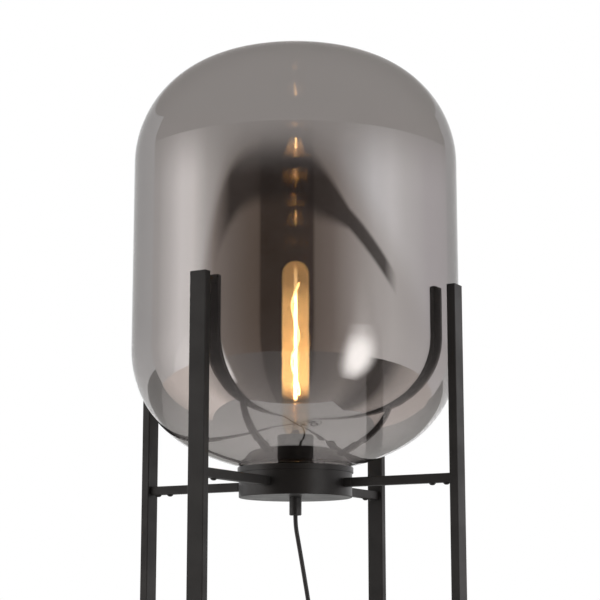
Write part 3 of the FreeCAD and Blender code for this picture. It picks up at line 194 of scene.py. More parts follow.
def set_tones(ramp, *tones):
    """The ramp's stops, each a place from 0 to 1 with its colour."""
    stops = ramp.color_ramp.elements
    while len(stops) < len(tones):
        stops.new(1.0)
    for stop, (place, colour) in zip(stops, tones):
        stop.position = place
        stop.color = colour


floor_material, floor_nodes, floor_shader = start_material(
    "pale_paper", {"Roughness": 0.75, "Specular IOR Level": 0.2})
floor_place = add_node(floor_nodes, "TexCoord")
floor_mottle = add_node(floor_nodes, "TexNoise", {"Scale": 1.6})
floor_tint = add_node(floor_nodes, "ValToRGB")
set_tones(floor_tint, (0, (0.80, 0.79, 0.775, 1)), (1, (0.85, 0.84, 0.83, 1)))
join(floor_place, "Object", floor_mottle, "Vector")
join(floor_mottle, "Fac", floor_tint, "Fac")
join(floor_tint, "Color", floor_shader, "Base Color")
floor.data.materials.append(floor_material)

world = bpy.data.worlds.new("white_surround")
bpy.context.scene.world = world
world.use_nodes = True
world_nodes = world.node_tree.nodes
soft_fill = world_nodes["Background"]
soft_fill.inputs["Color"].default_value = (1, 0.995, 0.985, 1)
soft_fill.inputs["Strength"].default_value = 0.5
white_paper = add_node(world_nodes, "Background", {"Color": (1, 1, 1, 1), "Strength": 1.0})
ray_kind = add_node(world_nodes, "LightPath")
seen_or_mirrored = add_node(world_nodes, "Math", operation="MAXIMUM")
or_through_glass = add_node(world_nodes, "Math", operation="MAXIMUM")
pick = add_node(world_nodes, "MixShader")
join(ray_kind, "Is Camera Ray", seen_or_mirrored, 0)
join(ray_kind, "Is Glossy Ray", seen_or_mirrored, 1)
join(seen_or_mirrored, 0, or_through_glass, 0)
join(ray_kind, "Is Transmission Ray", or_through_glass, 1)
join(or_through_glass, 0, pick, "Fac")
join(soft_fill, "Background", pick, 1)
join(white_paper, "Background", pick, 2)
join(pick, "Shader", world_nodes["World Output"], "Surface")


def set_soft_light(name, width, watts):
    """Name and size the newest light, which lights the lamp but is itself never seen."""
    light = bpy.context.object
    light.name = name
    light.data.size = width
    light.data.energy = watts
    light.visible_camera = False
    light.visible_glossy = False
    light.visible_transmission = False
    return light


for name, azimuth, distance, height, width, length, watts in (
        ("left_soft_light", -140, 2.3, 1.75, 1.35, 2.3, 17.0),
        ("right_soft_light", 4, 2.3, 2.1, 1.15, 1.5, 9.0),
        ("low_right_light", -15, 2.3, 0.95, 0.7, 1.2, 4.0)):
    turn = math.radians(azimuth)
    bpy.ops.object.light_add(type="AREA", rotation=(math.radians(90), 0, turn + math.radians(90)),
                             location=(distance * math.cos(turn), distance * math.sin(turn), height))
    soft_light = set_soft_light(name, width, watts)
    soft_light.data.shape = "RECTANGLE"
    soft_light.data.size_y = length

bpy.ops.object.light_add(type="AREA", location=(0.3, -0.2, 3.3), rotation=(0, 0, 0))
set_soft_light("top_soft_light", width=2.2, watts=14)

# What the mirror of the glass sees of the room: a long curved wall with soft bright bands left and
# right, a dim screen with a dark rounded rim between them, a grey ceiling, a dark carpet and two
# bright cards. Places on the wall are given as bearings in degrees, brightness as red, green, blue.
room_radius, room_height = 3.6, 3.4
wall_start, wall_end = -176, 70
ramp_start, ramp_end = -180, 80
bpy.ops.mesh.primitive_cylinder_add(vertices=144, radius=room_radius, depth=room_height,
                                    end_fill_type="NOTHING", location=(0, 0, room_height / 2))
room_wall = bpy.context.object
room_wall.name = "room_wall"
bpy.ops.object.mode_set(mode="EDIT")
bpy.ops.mesh.select_all(action="DESELECT")
bpy.ops.object.mode_set(mode="OBJECT")
for face in room_wall.data.polygons:
    azimuth = math.degrees(math.atan2(face.center.y, face.center.x))
    face.select = not wall_start < azimuth < wall_end
bpy.ops.object.mode_set(mode="EDIT")
bpy.ops.mesh.delete(type="FACE")
bpy.ops.object.mode_set(mode="OBJECT")
bpy.ops.object.transform_apply(location=True, rotation=True, scale=True)


def start_glow(name, sockets=None):
    """A new material that only glows, its nodes and its glow with the given sockets set."""
    material, material_nodes, shader = start_material(name)
    material_nodes.remove(shader)
    return material, material_nodes, add_node(material_nodes, "Emission", sockets)


def place_on_ramp(azimuth):
    """Where a bearing in degrees falls on a ramp that runs along the wall."""
    return (azimuth - ramp_start) / (ramp_end - ramp_start)


wall_strength = 2
wall_material, wall_nodes, wall_glow = start_glow("room_wall_glow", {"Strength": wall_strength})
wall_place = add_node(wall_nodes, "TexCoord")
wall_split = add_node(wall_nodes, "SeparateXYZ")
bearing = add_node(wall_nodes, "Math", operation="ARCTAN2")
along = add_node(wall_nodes, "MapRange", {"From Min": math.radians(ramp_start),
                 "From Max": math.radians(ramp_end)})
low_band = add_node(wall_nodes, "ValToRGB")
high_band = add_node(wall_nodes, "ValToRGB")
low_tones = ((-180, 0.95, 0.92, 0.91), (-168, 1.15, 1.12, 1.10), (-157, 1.52, 1.48, 1.46),
             (-146, 1.84, 1.79, 1.77), (-136, 1.84, 1.79, 1.77), (-126, 1.05, 0.99, 0.96),
             (-116, 0.50, 0.43, 0.39), (-104, 0.36, 0.30, 0.26), (-92, 0.27, 0.21, 0.17),
             (-84.5, 0.24, 0.18, 0.14), (-82.5, 0.07, 0.045, 0.03), (-60, 0.08, 0.055, 0.04),
             (-49, 0.10, 0.07, 0.055), (-47, 0.31, 0.25, 0.21), (-36, 0.40, 0.33, 0.29),
             (-22, 0.72, 0.65, 0.61), (-5, 1.05, 1.00, 0.97), (8, 1.15, 1.11, 1.08),
             (22, 1.06, 1.02, 1.00), (48, 1.02, 0.98, 0.98))
high_tones = ((-180, 0.95, 0.92, 0.91), (-168, 1.0, 0.97, 0.95), (-155, 1.36, 1.32, 1.30),
              (-144, 1.78, 1.73, 1.71), (-134, 1.74, 1.69, 1.66), (-122, 1.1, 1.06, 1.03),
              (-108, 0.72, 0.68, 0.65), (-92, 0.44, 0.41, 0.39), (-70, 0.36, 0.33, 0.31),
              (-50, 0.42, 0.38, 0.36), (-34, 0.62, 0.58, 0.56), (-20, 1.0, 0.98, 0.98),
              (-6, 1.48, 1.48, 1.50), (8, 1.58, 1.57, 1.58), (20, 1.34, 1.32, 1.32),
              (42, 1.12, 1.08, 1.10))
for band, tones in ((low_band, low_tones), (high_band, high_tones)):
    set_tones(band, *((place_on_ramp(azimuth),
                       (red / wall_strength, green / wall_strength, blue / wall_strength, 1))
                      for azimuth, red, green, blue in tones))
# The screen is highest at its middle and falls away to both sides along its rounded rim.
screen_middle, screen_rim = -66, 2.24
ceiling_fade, ceiling_full = 2.21, 2.50
screen_top = add_node(wall_nodes, "Math", operation="ADD")
for slot, side, curve, fall in ((0, -128, 4, 0.52), (1, 9.6, 1.45, 0.34)):
    from_middle = add_node(wall_nodes, "MapRange", {"From Min": math.radians(screen_middle),
                           "From Max": math.radians(side)}, clamp=False)
    one_side = add_node(wall_nodes, "Math", {1: 0}, operation="MAXIMUM")
    rounded = add_node(wall_nodes, "Math", {1: curve}, operation="POWER")
    lowered = add_node(wall_nodes, "Math", {1: fall}, operation="MULTIPLY")
    join(bearing, 0, from_middle, "Value")
    join(from_middle, "Result", one_side, 0)
    join(one_side, 0, rounded, 0)
    join(rounded, 0, lowered, 0)
    join(lowered, 0, screen_top, slot)
screen_height = add_node(wall_nodes, "Math", {1: screen_rim}, operation="SUBTRACT")
above_rim = add_node(wall_nodes, "Math", operation="ADD")
rim_fade = add_node(wall_nodes, "MapRange", {"From Min": 0.0, "From Max": 0.22},
                    interpolation_type="SMOOTHSTEP")
two_bands = add_node(wall_nodes, "Mix", data_type="RGBA")
rim_height = add_node(wall_nodes, "Math", operation="ABSOLUTE")
rim_reach = add_node(wall_nodes, "MapRange", {"From Min": math.radians(-46), "From Max": math.radians(-24),
                     "To Min": 0.125, "To Max": 0.045})
rim_near = add_node(wall_nodes, "Math", operation="DIVIDE")
rim_dark = add_node(wall_nodes, "MapRange", {"From Min": 0.45, "From Max": 1.0, "To Min": 1, "To Max": 0},
                    interpolation_type="SMOOTHSTEP")
rim_left = add_node(wall_nodes, "MapRange", {"From Min": math.radians(-116), "From Max": math.radians(-104)})
rim_right = add_node(wall_nodes, "MapRange", {"From Min": math.radians(2), "From Max": math.radians(12),
                     "To Min": 0.86, "To Max": 0})
rim_side = add_node(wall_nodes, "Math", operation="MULTIPLY")
rim_amount = add_node(wall_nodes, "Math", operation="MULTIPLY")
with_rim = add_node(wall_nodes, "Mix", {"B": (0.012, 0.008, 0.006, 1)}, data_type="RGBA")
near_ceiling = add_node(wall_nodes, "MapRange", {"From Min": ceiling_fade, "From Max": ceiling_full},
                        interpolation_type="SMOOTHSTEP")
with_ceiling = add_node(wall_nodes, "Mix", {"B": (0.385, 0.37, 0.36, 1)}, data_type="RGBA")
join(wall_split, "Z", near_ceiling, "Value")
join(near_ceiling, "Result", with_ceiling, "Factor")
join(wall_place, "Object", wall_split, "Vector")
join(wall_split, "Y", bearing, 0)
join(wall_split, "X", bearing, 1)
for follower in (along, rim_reach, rim_left, rim_right):
    join(bearing, 0, follower, "Value")
join(along, "Result", low_band, "Fac")
join(along, "Result", high_band, "Fac")
join(screen_top, 0, screen_height, 0)
join(wall_split, "Z", above_rim, 0)
join(screen_height, 0, above_rim, 1)
join(above_rim, 0, rim_fade, "Value")
join(rim_fade, "Result", two_bands, "Factor")
join(low_band, "Color", two_bands, "A")
join(high_band, "Color", two_bands, "B")
join(above_rim, 0, rim_height, 0)
join(rim_height, 0, rim_near, 0)
join(rim_reach, "Result", rim_near, 1)
join(rim_near, 0, rim_dark, "Value")
join(rim_left, "Result", rim_side, 0)
join(rim_right, "Result", rim_side, 1)
join(rim_dark, "Result", rim_amount, 0)
join(rim_side, 0, rim_amount, 1)
join(rim_amount, 0, with_rim, "Factor")
join(two_bands, "Result", with_rim, "A")
join(with_rim, "Result", with_ceiling, "A")
join(with_ceiling, "Result", wall_glow, "Color")
join(wall_glow, "Emission", wall_nodes["Material Output"], "Surface")
room_wall.data.materials.append(wall_material)

bpy.ops.mesh.primitive_circle_add(vertices=64, radius=3.7, fill_type="NGON",
                                  location=(0, 0, room_height))
room_ceiling = bpy.context.object
room_ceiling.name = "grey_ceiling"

# The carpet begins where the pale floor ends, at each bearing as far out as paper_edge gives.
carpet_points, carpet_faces = [], []
paper_edge = ((-176, 0.9), (-116, 0.84), (-106, 0.68), (-92, 0.56), (-76, 0.50), (-60, 0.48), (-44, 0.50),
              (-30, 0.55), (-18, 0.64), (-8, 0.58), (8, 0.54), (26, 0.68), (70, 0.9))
carpet_height, carpet_step = 0.002, 2
for index in range((wall_end - wall_start) // carpet_step + 1):
    azimuth = wall_start + index * carpet_step
    for (before, near), (after, far) in zip(paper_edge, paper_edge[1:]):
        if before <= azimuth <= after:
            reach = near + (far - near) * (azimuth - before) / (after - before)
    for distance in (reach, room_radius):
        carpet_points.append((distance * math.cos(math.radians(azimuth)),
                              distance * math.sin(math.radians(azimuth)), carpet_height))
    if index:
        carpet_faces.append((2 * index - 2, 2 * index - 1, 2 * index + 1, 2 * index))
carpet_mesh = bpy.data.meshes.new("dark_carpet")
carpet_mesh.from_pydata(carpet_points, [], carpet_faces)
room_carpet = bpy.data.objects.new("dark_carpet", carpet_mesh)
bpy.context.collection.objects.link(room_carpet)
carpet_material, carpet_nodes, carpet_glow = start_glow("dark_carpet")
carpet_place = add_node(carpet_nodes, "TexCoord")
carpet_split = add_node(carpet_nodes, "SeparateXYZ")
carpet_bearing = add_node(carpet_nodes, "Math", operation="ARCTAN2")
carpet_along = add_node(carpet_nodes, "MapRange", {"From Min": math.radians(ramp_start),
                        "From Max": math.radians(ramp_end)})
carpet_light_band = add_node(carpet_nodes, "ValToRGB")
# Painted light: the carpet's glow is brighter at the bearings where the room's soft lights fall on it, and
# dim between them.
carpet_light_levels = ((-176, 0.95), (-160, 1.35), (-140, 1.5), (-126, 0.9), (-112, 0.42), (-99, 0.31), (-84, 0.24),
                (-82, 0.13), (-48, 0.15), (-46, 0.27), (-36, 0.32), (-22, 0.42), (-10, 0.26), (0, 0.12),
                (10, 0.14), (22, 0.6), (40, 0.9))
set_tones(carpet_light_band, *((place_on_ramp(azimuth), (level, 0.9 * level, 0.84 * level, 1))
                         for azimuth, level in carpet_light_levels))
join(carpet_place, "Object", carpet_split, "Vector")
join(carpet_split, "Y", carpet_bearing, 0)
join(carpet_split, "X", carpet_bearing, 1)
join(carpet_bearing, 0, carpet_along, "Value")
join(carpet_along, "Result", carpet_light_band, "Fac")
join(carpet_light_band, "Color", carpet_glow, "Color")
join(carpet_glow, "Emission", carpet_nodes["Material Output"], "Surface")
room_carpet.data.materials.append(carpet_material)

cards = []
for name, azimuth, distance, height, turn, width, length in (
        ("thin_bright_card", -109.5, 1.3, 0.56, -19.5, 0.19, 1.5),
        ("oval_bright_card", -17.5, 1.4, 0.65, 71.5, 0.78, 1.7)):
    bpy.ops.mesh.primitive_plane_add(size=1, location=(distance * math.cos(math.radians(azimuth)),
                                                       distance * math.sin(math.radians(azimuth)), height),
                                     rotation=(math.radians(90), 0, math.radians(turn)))
    bpy.context.object.name = name
    bpy.context.object.scale = (width, length, 1)
    cards.append(bpy.context.object)
thin_card, oval_card = cards
for card, tint, level, soft in ((room_ceiling, (1, 0.965, 0.94), 0.77, False),
                                (thin_card, (1, 0.98, 0.96), 2.6, True),
                                (oval_card, (1, 0.985, 0.965), 3.1, True)):
    card_material, card_nodes, card_glow = start_glow(card.name, {"Color": (*tint, 1), "Strength": level})
    if soft:
        card_place = add_node(card_nodes, "TexCoord")
        card_size = add_node(card_nodes, "VectorMath", operation="LENGTH")
        card_fade = add_node(card_nodes, "MapRange", {"From Min": 0.08, "From Max": 0.5, "To Min": 1,
                             "To Max": 0}, interpolation_type="SMOOTHSTEP")
        card_clear = add_node(card_nodes, "BsdfTransparent")
        card_mix = add_node(card_nodes, "MixShader")
        join(card_place, "Object", card_size, 0)
        join(card_size, "Value", card_fade, "Value")
        join(card_fade, "Result", card_mix, "Fac")
        join(card_clear, "BSDF", card_mix, 1)
        join(card_glow, "Emission", card_mix, 2)
        join(card_mix, "Shader", card_nodes["Material Output"], "Surface")
    else:
        join(card_glow, "Emission", card_nodes["Material Output"], "Surface")
    card.data.materials.append(card_material)
for card in (room_wall, room_ceiling, room_carpet, thin_card, oval_card):
    card.visible_camera = False
    card.visible_diffuse = False
    card.visible_shadow = False

scene = bpy.context.scene
scene.view_settings.view_transform = "Standard"
glass_bounces = 16
scene.cycles.max_bounces = glass_bounces
scene.cycles.transmission_bounces = glass_bounces
scene.cycles.transparent_max_bounces = glass_bounces
scene.cycles.caustics_reflective = False
scene.cycles.caustics_refractive = False


# ---------------------------------------------------------------- frame: legs, bars, stubs, caps
# Flat steel tube for the legs and square tube for the bars, powder coated satin black. The coat
# has a fine orange peel, is a little greyer and smoother where hands and boxes have rubbed it.

def dress(material, slot, *names):
    """Give the named nodes of the frame this material; the slot is not used."""
    for name in names:
        nodes[name].data.materials.clear()
        nodes[name].data.materials.append(material)


frame_material, coat_nodes, coat_shader = start_material("black_powder_coat", {"Specular IOR Level": 0.32})
coat_place = add_node(coat_nodes, "TexCoord")
coat_cloud = add_node(coat_nodes, "TexNoise", {"Scale": 22, "Detail": 5})
coat_tone = add_node(coat_nodes, "ValToRGB")
set_tones(coat_tone, (0.3, (0.0100, 0.0092, 0.0090, 1)), (0.75, (0.0205, 0.0190, 0.0183, 1)))
coat_rough = add_node(coat_nodes, "MapRange", {"From Min": 0.3, "From Max": 0.7, "To Min": 0.56,
                      "To Max": 0.42})
coat_peel = add_node(coat_nodes, "TexNoise", {"Scale": 900, "Detail": 2})
coat_bump = add_node(coat_nodes, "Bump", {"Strength": 0.35, "Distance": 0.0003})
join(coat_place, "Object", coat_cloud, "Vector")
join(coat_place, "Object", coat_peel, "Vector")
join(coat_cloud, "Fac", coat_tone, "Fac")
join(coat_cloud, "Fac", coat_rough, "Value")
join(coat_tone, "Color", coat_shader, "Base Color")
join(coat_rough, "Result", coat_shader, "Roughness")
join(coat_peel, "Fac", coat_bump, "Height")
join(coat_bump, "Normal", coat_shader, "Normal")
dress(frame_material, "black_frame", "leg_front", "leg_right", "leg_rear", "leg_left", "leg_top_caps",
      "upper_bar_front", "upper_bar_right", "upper_bar_rear", "upper_bar_left", "bar_root_stumps",
      "upper_joint_stubs", "lower_bar_long", "lower_bar_front", "lower_bar_rear", "lower_joint_stubs",
      "upper_joint_screws", "lower_joint_screws")


# ---------------------------------------------------------------- feet, seat ring: soft parts under hard ones
# Matt black rubber glides close the leg feet, and a thin clear ring keeps the glass off the lid.
# The rubber has a fine moulded grain and picks up a little dust near the floor.
rubber_material, rubber_nodes, rubber_shader = start_material(
    "black_rubber", {"Specular IOR Level": 0.3, "Roughness": 0.82})
rubber_place = add_node(rubber_nodes, "TexCoord")
rubber_dust = add_node(rubber_nodes, "TexNoise", {"Scale": 160, "Detail": 6})
rubber_tone = add_node(rubber_nodes, "ValToRGB")
set_tones(rubber_tone, (0.4, (0.021, 0.021, 0.021, 1)), (0.72, (0.045, 0.043, 0.041, 1)))
rubber_grain = add_node(rubber_nodes, "TexNoise", {"Scale": 2200})
rubber_bump = add_node(rubber_nodes, "Bump", {"Strength": 0.3, "Distance": 0.0002})
join(rubber_place, "Object", rubber_dust, "Vector")
join(rubber_place, "Object", rubber_grain, "Vector")
join(rubber_dust, "Fac", rubber_tone, "Fac")
join(rubber_tone, "Color", rubber_shader, "Base Color")
join(rubber_grain, "Fac", rubber_bump, "Height")
join(rubber_bump, "Normal", rubber_shader, "Normal")
dress(rubber_material, "soft_rubber", "foot_glides")

seat_material, seat_nodes, seat_shader = start_material(
    "clear_soft_ring", {"Base Color": (0.62, 0.60, 0.58, 1), "Transmission Weight": 0.6, "IOR": 1.42})
seat_place = add_node(seat_nodes, "TexCoord")
seat_cloud = add_node(seat_nodes, "TexNoise", {"Scale": 240})
seat_rough = add_node(seat_nodes, "MapRange", {"To Min": 0.3, "To Max": 0.55})
join(seat_place, "Object", seat_cloud, "Vector")
join(seat_cloud, "Fac", seat_rough, "Value")
join(seat_rough, "Result", seat_shader, "Roughness")
dress(seat_material, "clear_seat", "seat_ring")


# ---------------------------------------------------------------- canister: drum, lid, lugs, gland
# A pressed steel drum with a turned lid, both painted satin black, and the nylon cord gland below.
# The paint is smoother than the legs' coat, with faint rings from turning and light handling marks.
canister_material, paint_nodes, paint_shader = start_material(
    "satin_black_paint", {"Specular IOR Level": 0.34})
paint_place = add_node(paint_nodes, "TexCoord")
paint_marks = add_node(paint_nodes, "TexNoise", {"Scale": 45, "Detail": 6, "Roughness": 0.65})
paint_tone = add_node(paint_nodes, "ValToRGB")
set_tones(paint_tone, (0.32, (0.0095, 0.0085, 0.0083, 1)), (0.8, (0.0190, 0.0172, 0.0168, 1)))
paint_rough = add_node(paint_nodes, "MapRange", {"From Min": 0.3, "From Max": 0.7, "To Min": 0.42,
                       "To Max": 0.30})
turning_rings = add_node(paint_nodes, "TexWave", {"Scale": 180, "Distortion": 1.5}, wave_type="RINGS",
                         rings_direction="Z")
paint_bump = add_node(paint_nodes, "Bump", {"Strength": 0.08, "Distance": 0.0001})
paint_peel = add_node(paint_nodes, "TexNoise", {"Scale": 700})
paint_peel_bump = add_node(paint_nodes, "Bump", {"Strength": 0.2, "Distance": 0.0002})
join(paint_place, "Object", paint_marks, "Vector")
join(paint_place, "Object", turning_rings, "Vector")
join(paint_place, "Object", paint_peel, "Vector")
join(paint_marks, "Fac", paint_tone, "Fac")
join(paint_marks, "Fac", paint_rough, "Value")
join(paint_tone, "Color", paint_shader, "Base Color")
join(paint_rough, "Result", paint_shader, "Roughness")
join(turning_rings, "Fac", paint_bump, "Height")
join(paint_peel, "Fac", paint_peel_bump, "Height")
join(paint_bump, "Normal", paint_peel_bump, "Normal")
join(paint_peel_bump, "Normal", paint_shader, "Normal")
dress(canister_material, "black_canister", "canister_drum", "canister_lid", "lid_lugs")

plastic_material, plastic_nodes, plastic_shader = start_material(
    "moulded_black_plastic", {"Base Color": (0.017, 0.0165, 0.0165, 1), "Specular IOR Level": 0.45})
plastic_place = add_node(plastic_nodes, "TexCoord")
plastic_grain = add_node(plastic_nodes, "TexVoronoi", {"Scale": 1500})
plastic_bump = add_node(plastic_nodes, "Bump", {"Strength": 0.25, "Distance": 0.0002})
plastic_wear = add_node(plastic_nodes, "TexNoise", {"Scale": 90})
plastic_rough = add_node(plastic_nodes, "MapRange", {"From Min": 0.3, "From Max": 0.7, "To Min": 0.38,
                         "To Max": 0.55})
join(plastic_place, "Object", plastic_grain, "Vector")
join(plastic_place, "Object", plastic_wear, "Vector")
join(plastic_grain, "Distance", plastic_bump, "Height")
join(plastic_bump, "Normal", plastic_shader, "Normal")
join(plastic_wear, "Fac", plastic_rough, "Value")
join(plastic_rough, "Result", plastic_shader, "Roughness")
dress(plastic_material, "black_plastic", "cord_gland", "gland_clamp_screw", "lampholder_sleeve",
      "bulb_insulator", "foot_switch_base", "foot_switch_cover", "foot_switch_button", "plug_body")

steel_material, steel_nodes, steel_shader = start_material("zinc_plated_steel", {"Metallic": 1})
steel_place = add_node(steel_nodes, "TexCoord")
steel_bloom = add_node(steel_nodes, "TexNoise", {"Scale": 260, "Detail": 4})
steel_tone = add_node(steel_nodes, "ValToRGB")
set_tones(steel_tone, (0, (0.50, 0.50, 0.49, 1)), (1, (0.68, 0.68, 0.66, 1)))
steel_rough = add_node(steel_nodes, "MapRange", {"To Min": 0.25, "To Max": 0.45})
join(steel_place, "Object", steel_bloom, "Vector")
join(steel_bloom, "Fac", steel_tone, "Fac")
join(steel_bloom, "Fac", steel_rough, "Value")
join(steel_tone, "Color", steel_shader, "Base Color")
join(steel_rough, "Result", steel_shader, "Roughness")
dress(steel_material, "zinc_steel", "lid_screws", "lampholder_threaded_tube", "threaded_tube_nuts",
      "gland_threaded_tube", "gland_washer", "bulb_tip_contact", "foot_switch_screws")


# ---------------------------------------------------------------- glass shade
# One blown glass wall, open at the foot, smoked and half mirrored by a thin coat inside. It bends
# and doubles what it mirrors very slightly, as blown glass does, and lamps shine through it.
coat_fade_low, coat_fade_high = 1.03, 1.17
shade_material, shade_nodes, shade_shader = start_material(
    "smoked_mirror_glass", {"Transmission Weight": 1, "Roughness": 0, "IOR": 1.45,
                            "Specular Tint": (0.42, 0.41, 0.405, 1)})
shade_place = add_node(shade_nodes, "TexCoord")
shade_ripple = add_node(shade_nodes, "TexNoise", {"Scale": 5, "Detail": 1})
shade_bump = add_node(shade_nodes, "Bump", {"Strength": 0.05, "Distance": 0.004})
shade_split = add_node(shade_nodes, "SeparateXYZ")
coat_depth = add_node(shade_nodes, "MapRange", {"From Min": coat_fade_low, "From Max": coat_fade_high,
                      "To Min": 0.24, "To Max": 0.54}, interpolation_type="SMOOTHSTEP")
smoke_tone = add_node(shade_nodes, "MapRange", {"From Min": coat_fade_low, "From Max": coat_fade_high},
                      interpolation_type="SMOOTHSTEP")
smoke_colour = add_node(shade_nodes, "ValToRGB")
set_tones(smoke_colour, (0, (0.71, 0.685, 0.675, 1)), (1, (0.475, 0.455, 0.448, 1)))
lamp_way = add_node(shade_nodes, "BsdfTransparent", {"Color": (0.50, 0.49, 0.485, 1)})
shade_rays = add_node(shade_nodes, "LightPath")
shade_mix = add_node(shade_nodes, "MixShader")
join(shade_place, "Object", shade_ripple, "Vector")
join(shade_place, "Object", shade_split, "Vector")
join(shade_split, "Z", coat_depth, "Value")
join(shade_split, "Z", smoke_tone, "Value")
join(coat_depth, "Result", shade_shader, "Metallic")
join(smoke_tone, "Result", smoke_colour, "Fac")
join(smoke_colour, "Color", shade_shader, "Base Color")
join(shade_ripple, "Fac", shade_bump, "Height")
join(shade_bump, "Normal", shade_shader, "Normal")
join(shade_rays, "Is Shadow Ray", shade_mix, "Fac")
join(shade_shader, "BSDF", shade_mix, 1)
join(lamp_way, "BSDF", shade_mix, 2)
join(shade_mix, "Shader", shade_nodes["Material Output"], "Surface")
dress(shade_material, "smoked_glass", "glass_shade")


# ---------------------------------------------------------------- lampholder
# A glazed insulating body in the black sleeve, with a rolled brass screw shell and brass contacts.
# The brass has dulled a little, and the glaze has tiny pits.
brass_material, brass_nodes, brass_shader = start_material("rolled_brass", {"Metallic": 1})
brass_place = add_node(brass_nodes, "TexCoord")
brass_dull = add_node(brass_nodes, "TexNoise", {"Scale": 120, "Detail": 5})
brass_tone = add_node(brass_nodes, "ValToRGB")
set_tones(brass_tone, (0.35, (0.40, 0.29, 0.13, 1)), (0.65, (0.66, 0.50, 0.24, 1)))
brass_rough = add_node(brass_nodes, "MapRange", {"To Min": 0.2, "To Max": 0.42})
join(brass_place, "Object", brass_dull, "Vector")
join(brass_dull, "Fac", brass_tone, "Fac")
join(brass_dull, "Fac", brass_rough, "Value")
join(brass_tone, "Color", brass_shader, "Base Color")
join(brass_rough, "Result", brass_shader, "Roughness")
dress(brass_material, "brass_cap", "lampholder_screw_shell", "lampholder_centre_contact",
      "lampholder_side_contact", "bulb_cap")

glaze_material, glaze_nodes, glaze_shader = start_material(
    "glazed_holder_body", {"Roughness": 0.22, "Coat Weight": 0.5, "Coat Roughness": 0.08})
glaze_place = add_node(glaze_nodes, "TexCoord")
glaze_cloud = add_node(glaze_nodes, "TexNoise", {"Scale": 70})
glaze_tone = add_node(glaze_nodes, "ValToRGB")
set_tones(glaze_tone, (0, (0.62, 0.60, 0.55, 1)), (1, (0.74, 0.72, 0.68, 1)))
glaze_pits = add_node(glaze_nodes, "TexVoronoi", {"Scale": 500})
glaze_bump = add_node(glaze_nodes, "Bump", {"Strength": 0.1, "Distance": 0.0002})
join(glaze_place, "Object", glaze_cloud, "Vector")
join(glaze_place, "Object", glaze_pits, "Vector")
join(glaze_cloud, "Fac", glaze_tone, "Fac")
join(glaze_tone, "Color", glaze_shader, "Base Color")
join(glaze_pits, "Distance", glaze_bump, "Height")
join(glaze_bump, "Normal", glaze_shader, "Normal")
dress(glaze_material, "holder_porcelain", "lampholder_body", "foot_switch_contact_block")


# ---------------------------------------------------------------- filament lamp
# A tall clear tube lamp: thin glass, a glass mount with a rod up the middle, and one long filament
# wound loosely round the rod on fine wires. The filament burns a warm white.
glow_low, glow_reach = 1.06, 0.20
# Painted halo: the tube glass glows warm along the filament's height, standing in for the glare of the
# filament's light in the glass.
lamp_glass_material, clear_nodes, clear_shader = start_material(
    "clear_glass_painted_halo", {"Base Color": (1.0, 0.90, 0.76, 1), "Transmission Weight": 1, "Roughness": 0,
                         "IOR": 1.5, "Emission Strength": 1.45})
clear_place = add_node(clear_nodes, "TexCoord")
clear_ripple = add_node(clear_nodes, "TexNoise", {"Scale": 60})
clear_bump = add_node(clear_nodes, "Bump", {"Strength": 0.08, "Distance": 0.001})
clear_split = add_node(clear_nodes, "SeparateXYZ")
painted_halo_colour = add_node(clear_nodes, "ValToRGB")
painted_halo_zone = add_node(clear_nodes, "MapRange", {"From Min": glow_low, "From Max": glow_low + glow_reach})
painted_halo_levels = ((1.086, 0.0), (1.102, 0.42), (1.155, 0.75), (1.198, 1.0), (1.222, 0.4))
set_tones(painted_halo_colour, *(((height - glow_low) / glow_reach, (amount, amount * 0.60, amount * 0.235, 1))
                         for height, amount in painted_halo_levels))
clear_way = add_node(clear_nodes, "BsdfTransparent", {"Color": (0.96, 0.94, 0.90, 1)})
clear_rays = add_node(clear_nodes, "LightPath")
clear_mix = add_node(clear_nodes, "MixShader")
join(clear_place, "Object", clear_ripple, "Vector")
join(clear_place, "Object", clear_split, "Vector")
join(clear_split, "Z", painted_halo_zone, "Value")
join(painted_halo_zone, "Result", painted_halo_colour, "Fac")
join(painted_halo_colour, "Color", clear_shader, "Emission Color")
join(clear_ripple, "Fac", clear_bump, "Height")
join(clear_bump, "Normal", clear_shader, "Normal")
join(clear_rays, "Is Shadow Ray", clear_mix, "Fac")
join(clear_shader, "BSDF", clear_mix, 1)
join(clear_way, "BSDF", clear_mix, 2)
join(clear_mix, "Shader", clear_nodes["Material Output"], "Surface")
dress(lamp_glass_material, "lamp_glass", "bulb_glass")

# Painted lit core: the glass rod glows warm along the filament's height, standing in for the filament's light
# in the rod.
stem_material, stem_nodes, stem_shader = start_material(
    "stem_painted_glow_glass", {"Base Color": (1.0, 0.92, 0.80, 1), "Transmission Weight": 0.85, "IOR": 1.5,
                       "Emission Strength": 34})
stem_place = add_node(stem_nodes, "TexCoord")
stem_split = add_node(stem_nodes, "SeparateXYZ")
stem_zone = add_node(stem_nodes, "MapRange", {"From Min": glow_low, "From Max": glow_low + glow_reach})
stem_glow = add_node(stem_nodes, "ValToRGB")
painted_core_levels = ((1.084, 0.0), (1.098, 1.0), (1.196, 1.0), (1.214, 0.12), (1.245, 0.03))
set_tones(stem_glow, *(((height - glow_low) / glow_reach, (amount, amount * 0.74, amount * 0.40, 1))
                       for height, amount in painted_core_levels))
stem_seed = add_node(stem_nodes, "TexNoise", {"Scale": 600})
stem_frost = add_node(stem_nodes, "MapRange", {"To Min": 0.08, "To Max": 0.28})
join(stem_place, "Object", stem_split, "Vector")
join(stem_place, "Object", stem_seed, "Vector")
join(stem_split, "Z", stem_zone, "Value")
join(stem_zone, "Result", stem_glow, "Fac")
join(stem_glow, "Color", stem_shader, "Emission Color")
join(stem_seed, "Fac", stem_frost, "Value")
join(stem_frost, "Result", stem_shader, "Roughness")
dress(stem_material, "lamp_glass", "bulb_stem")

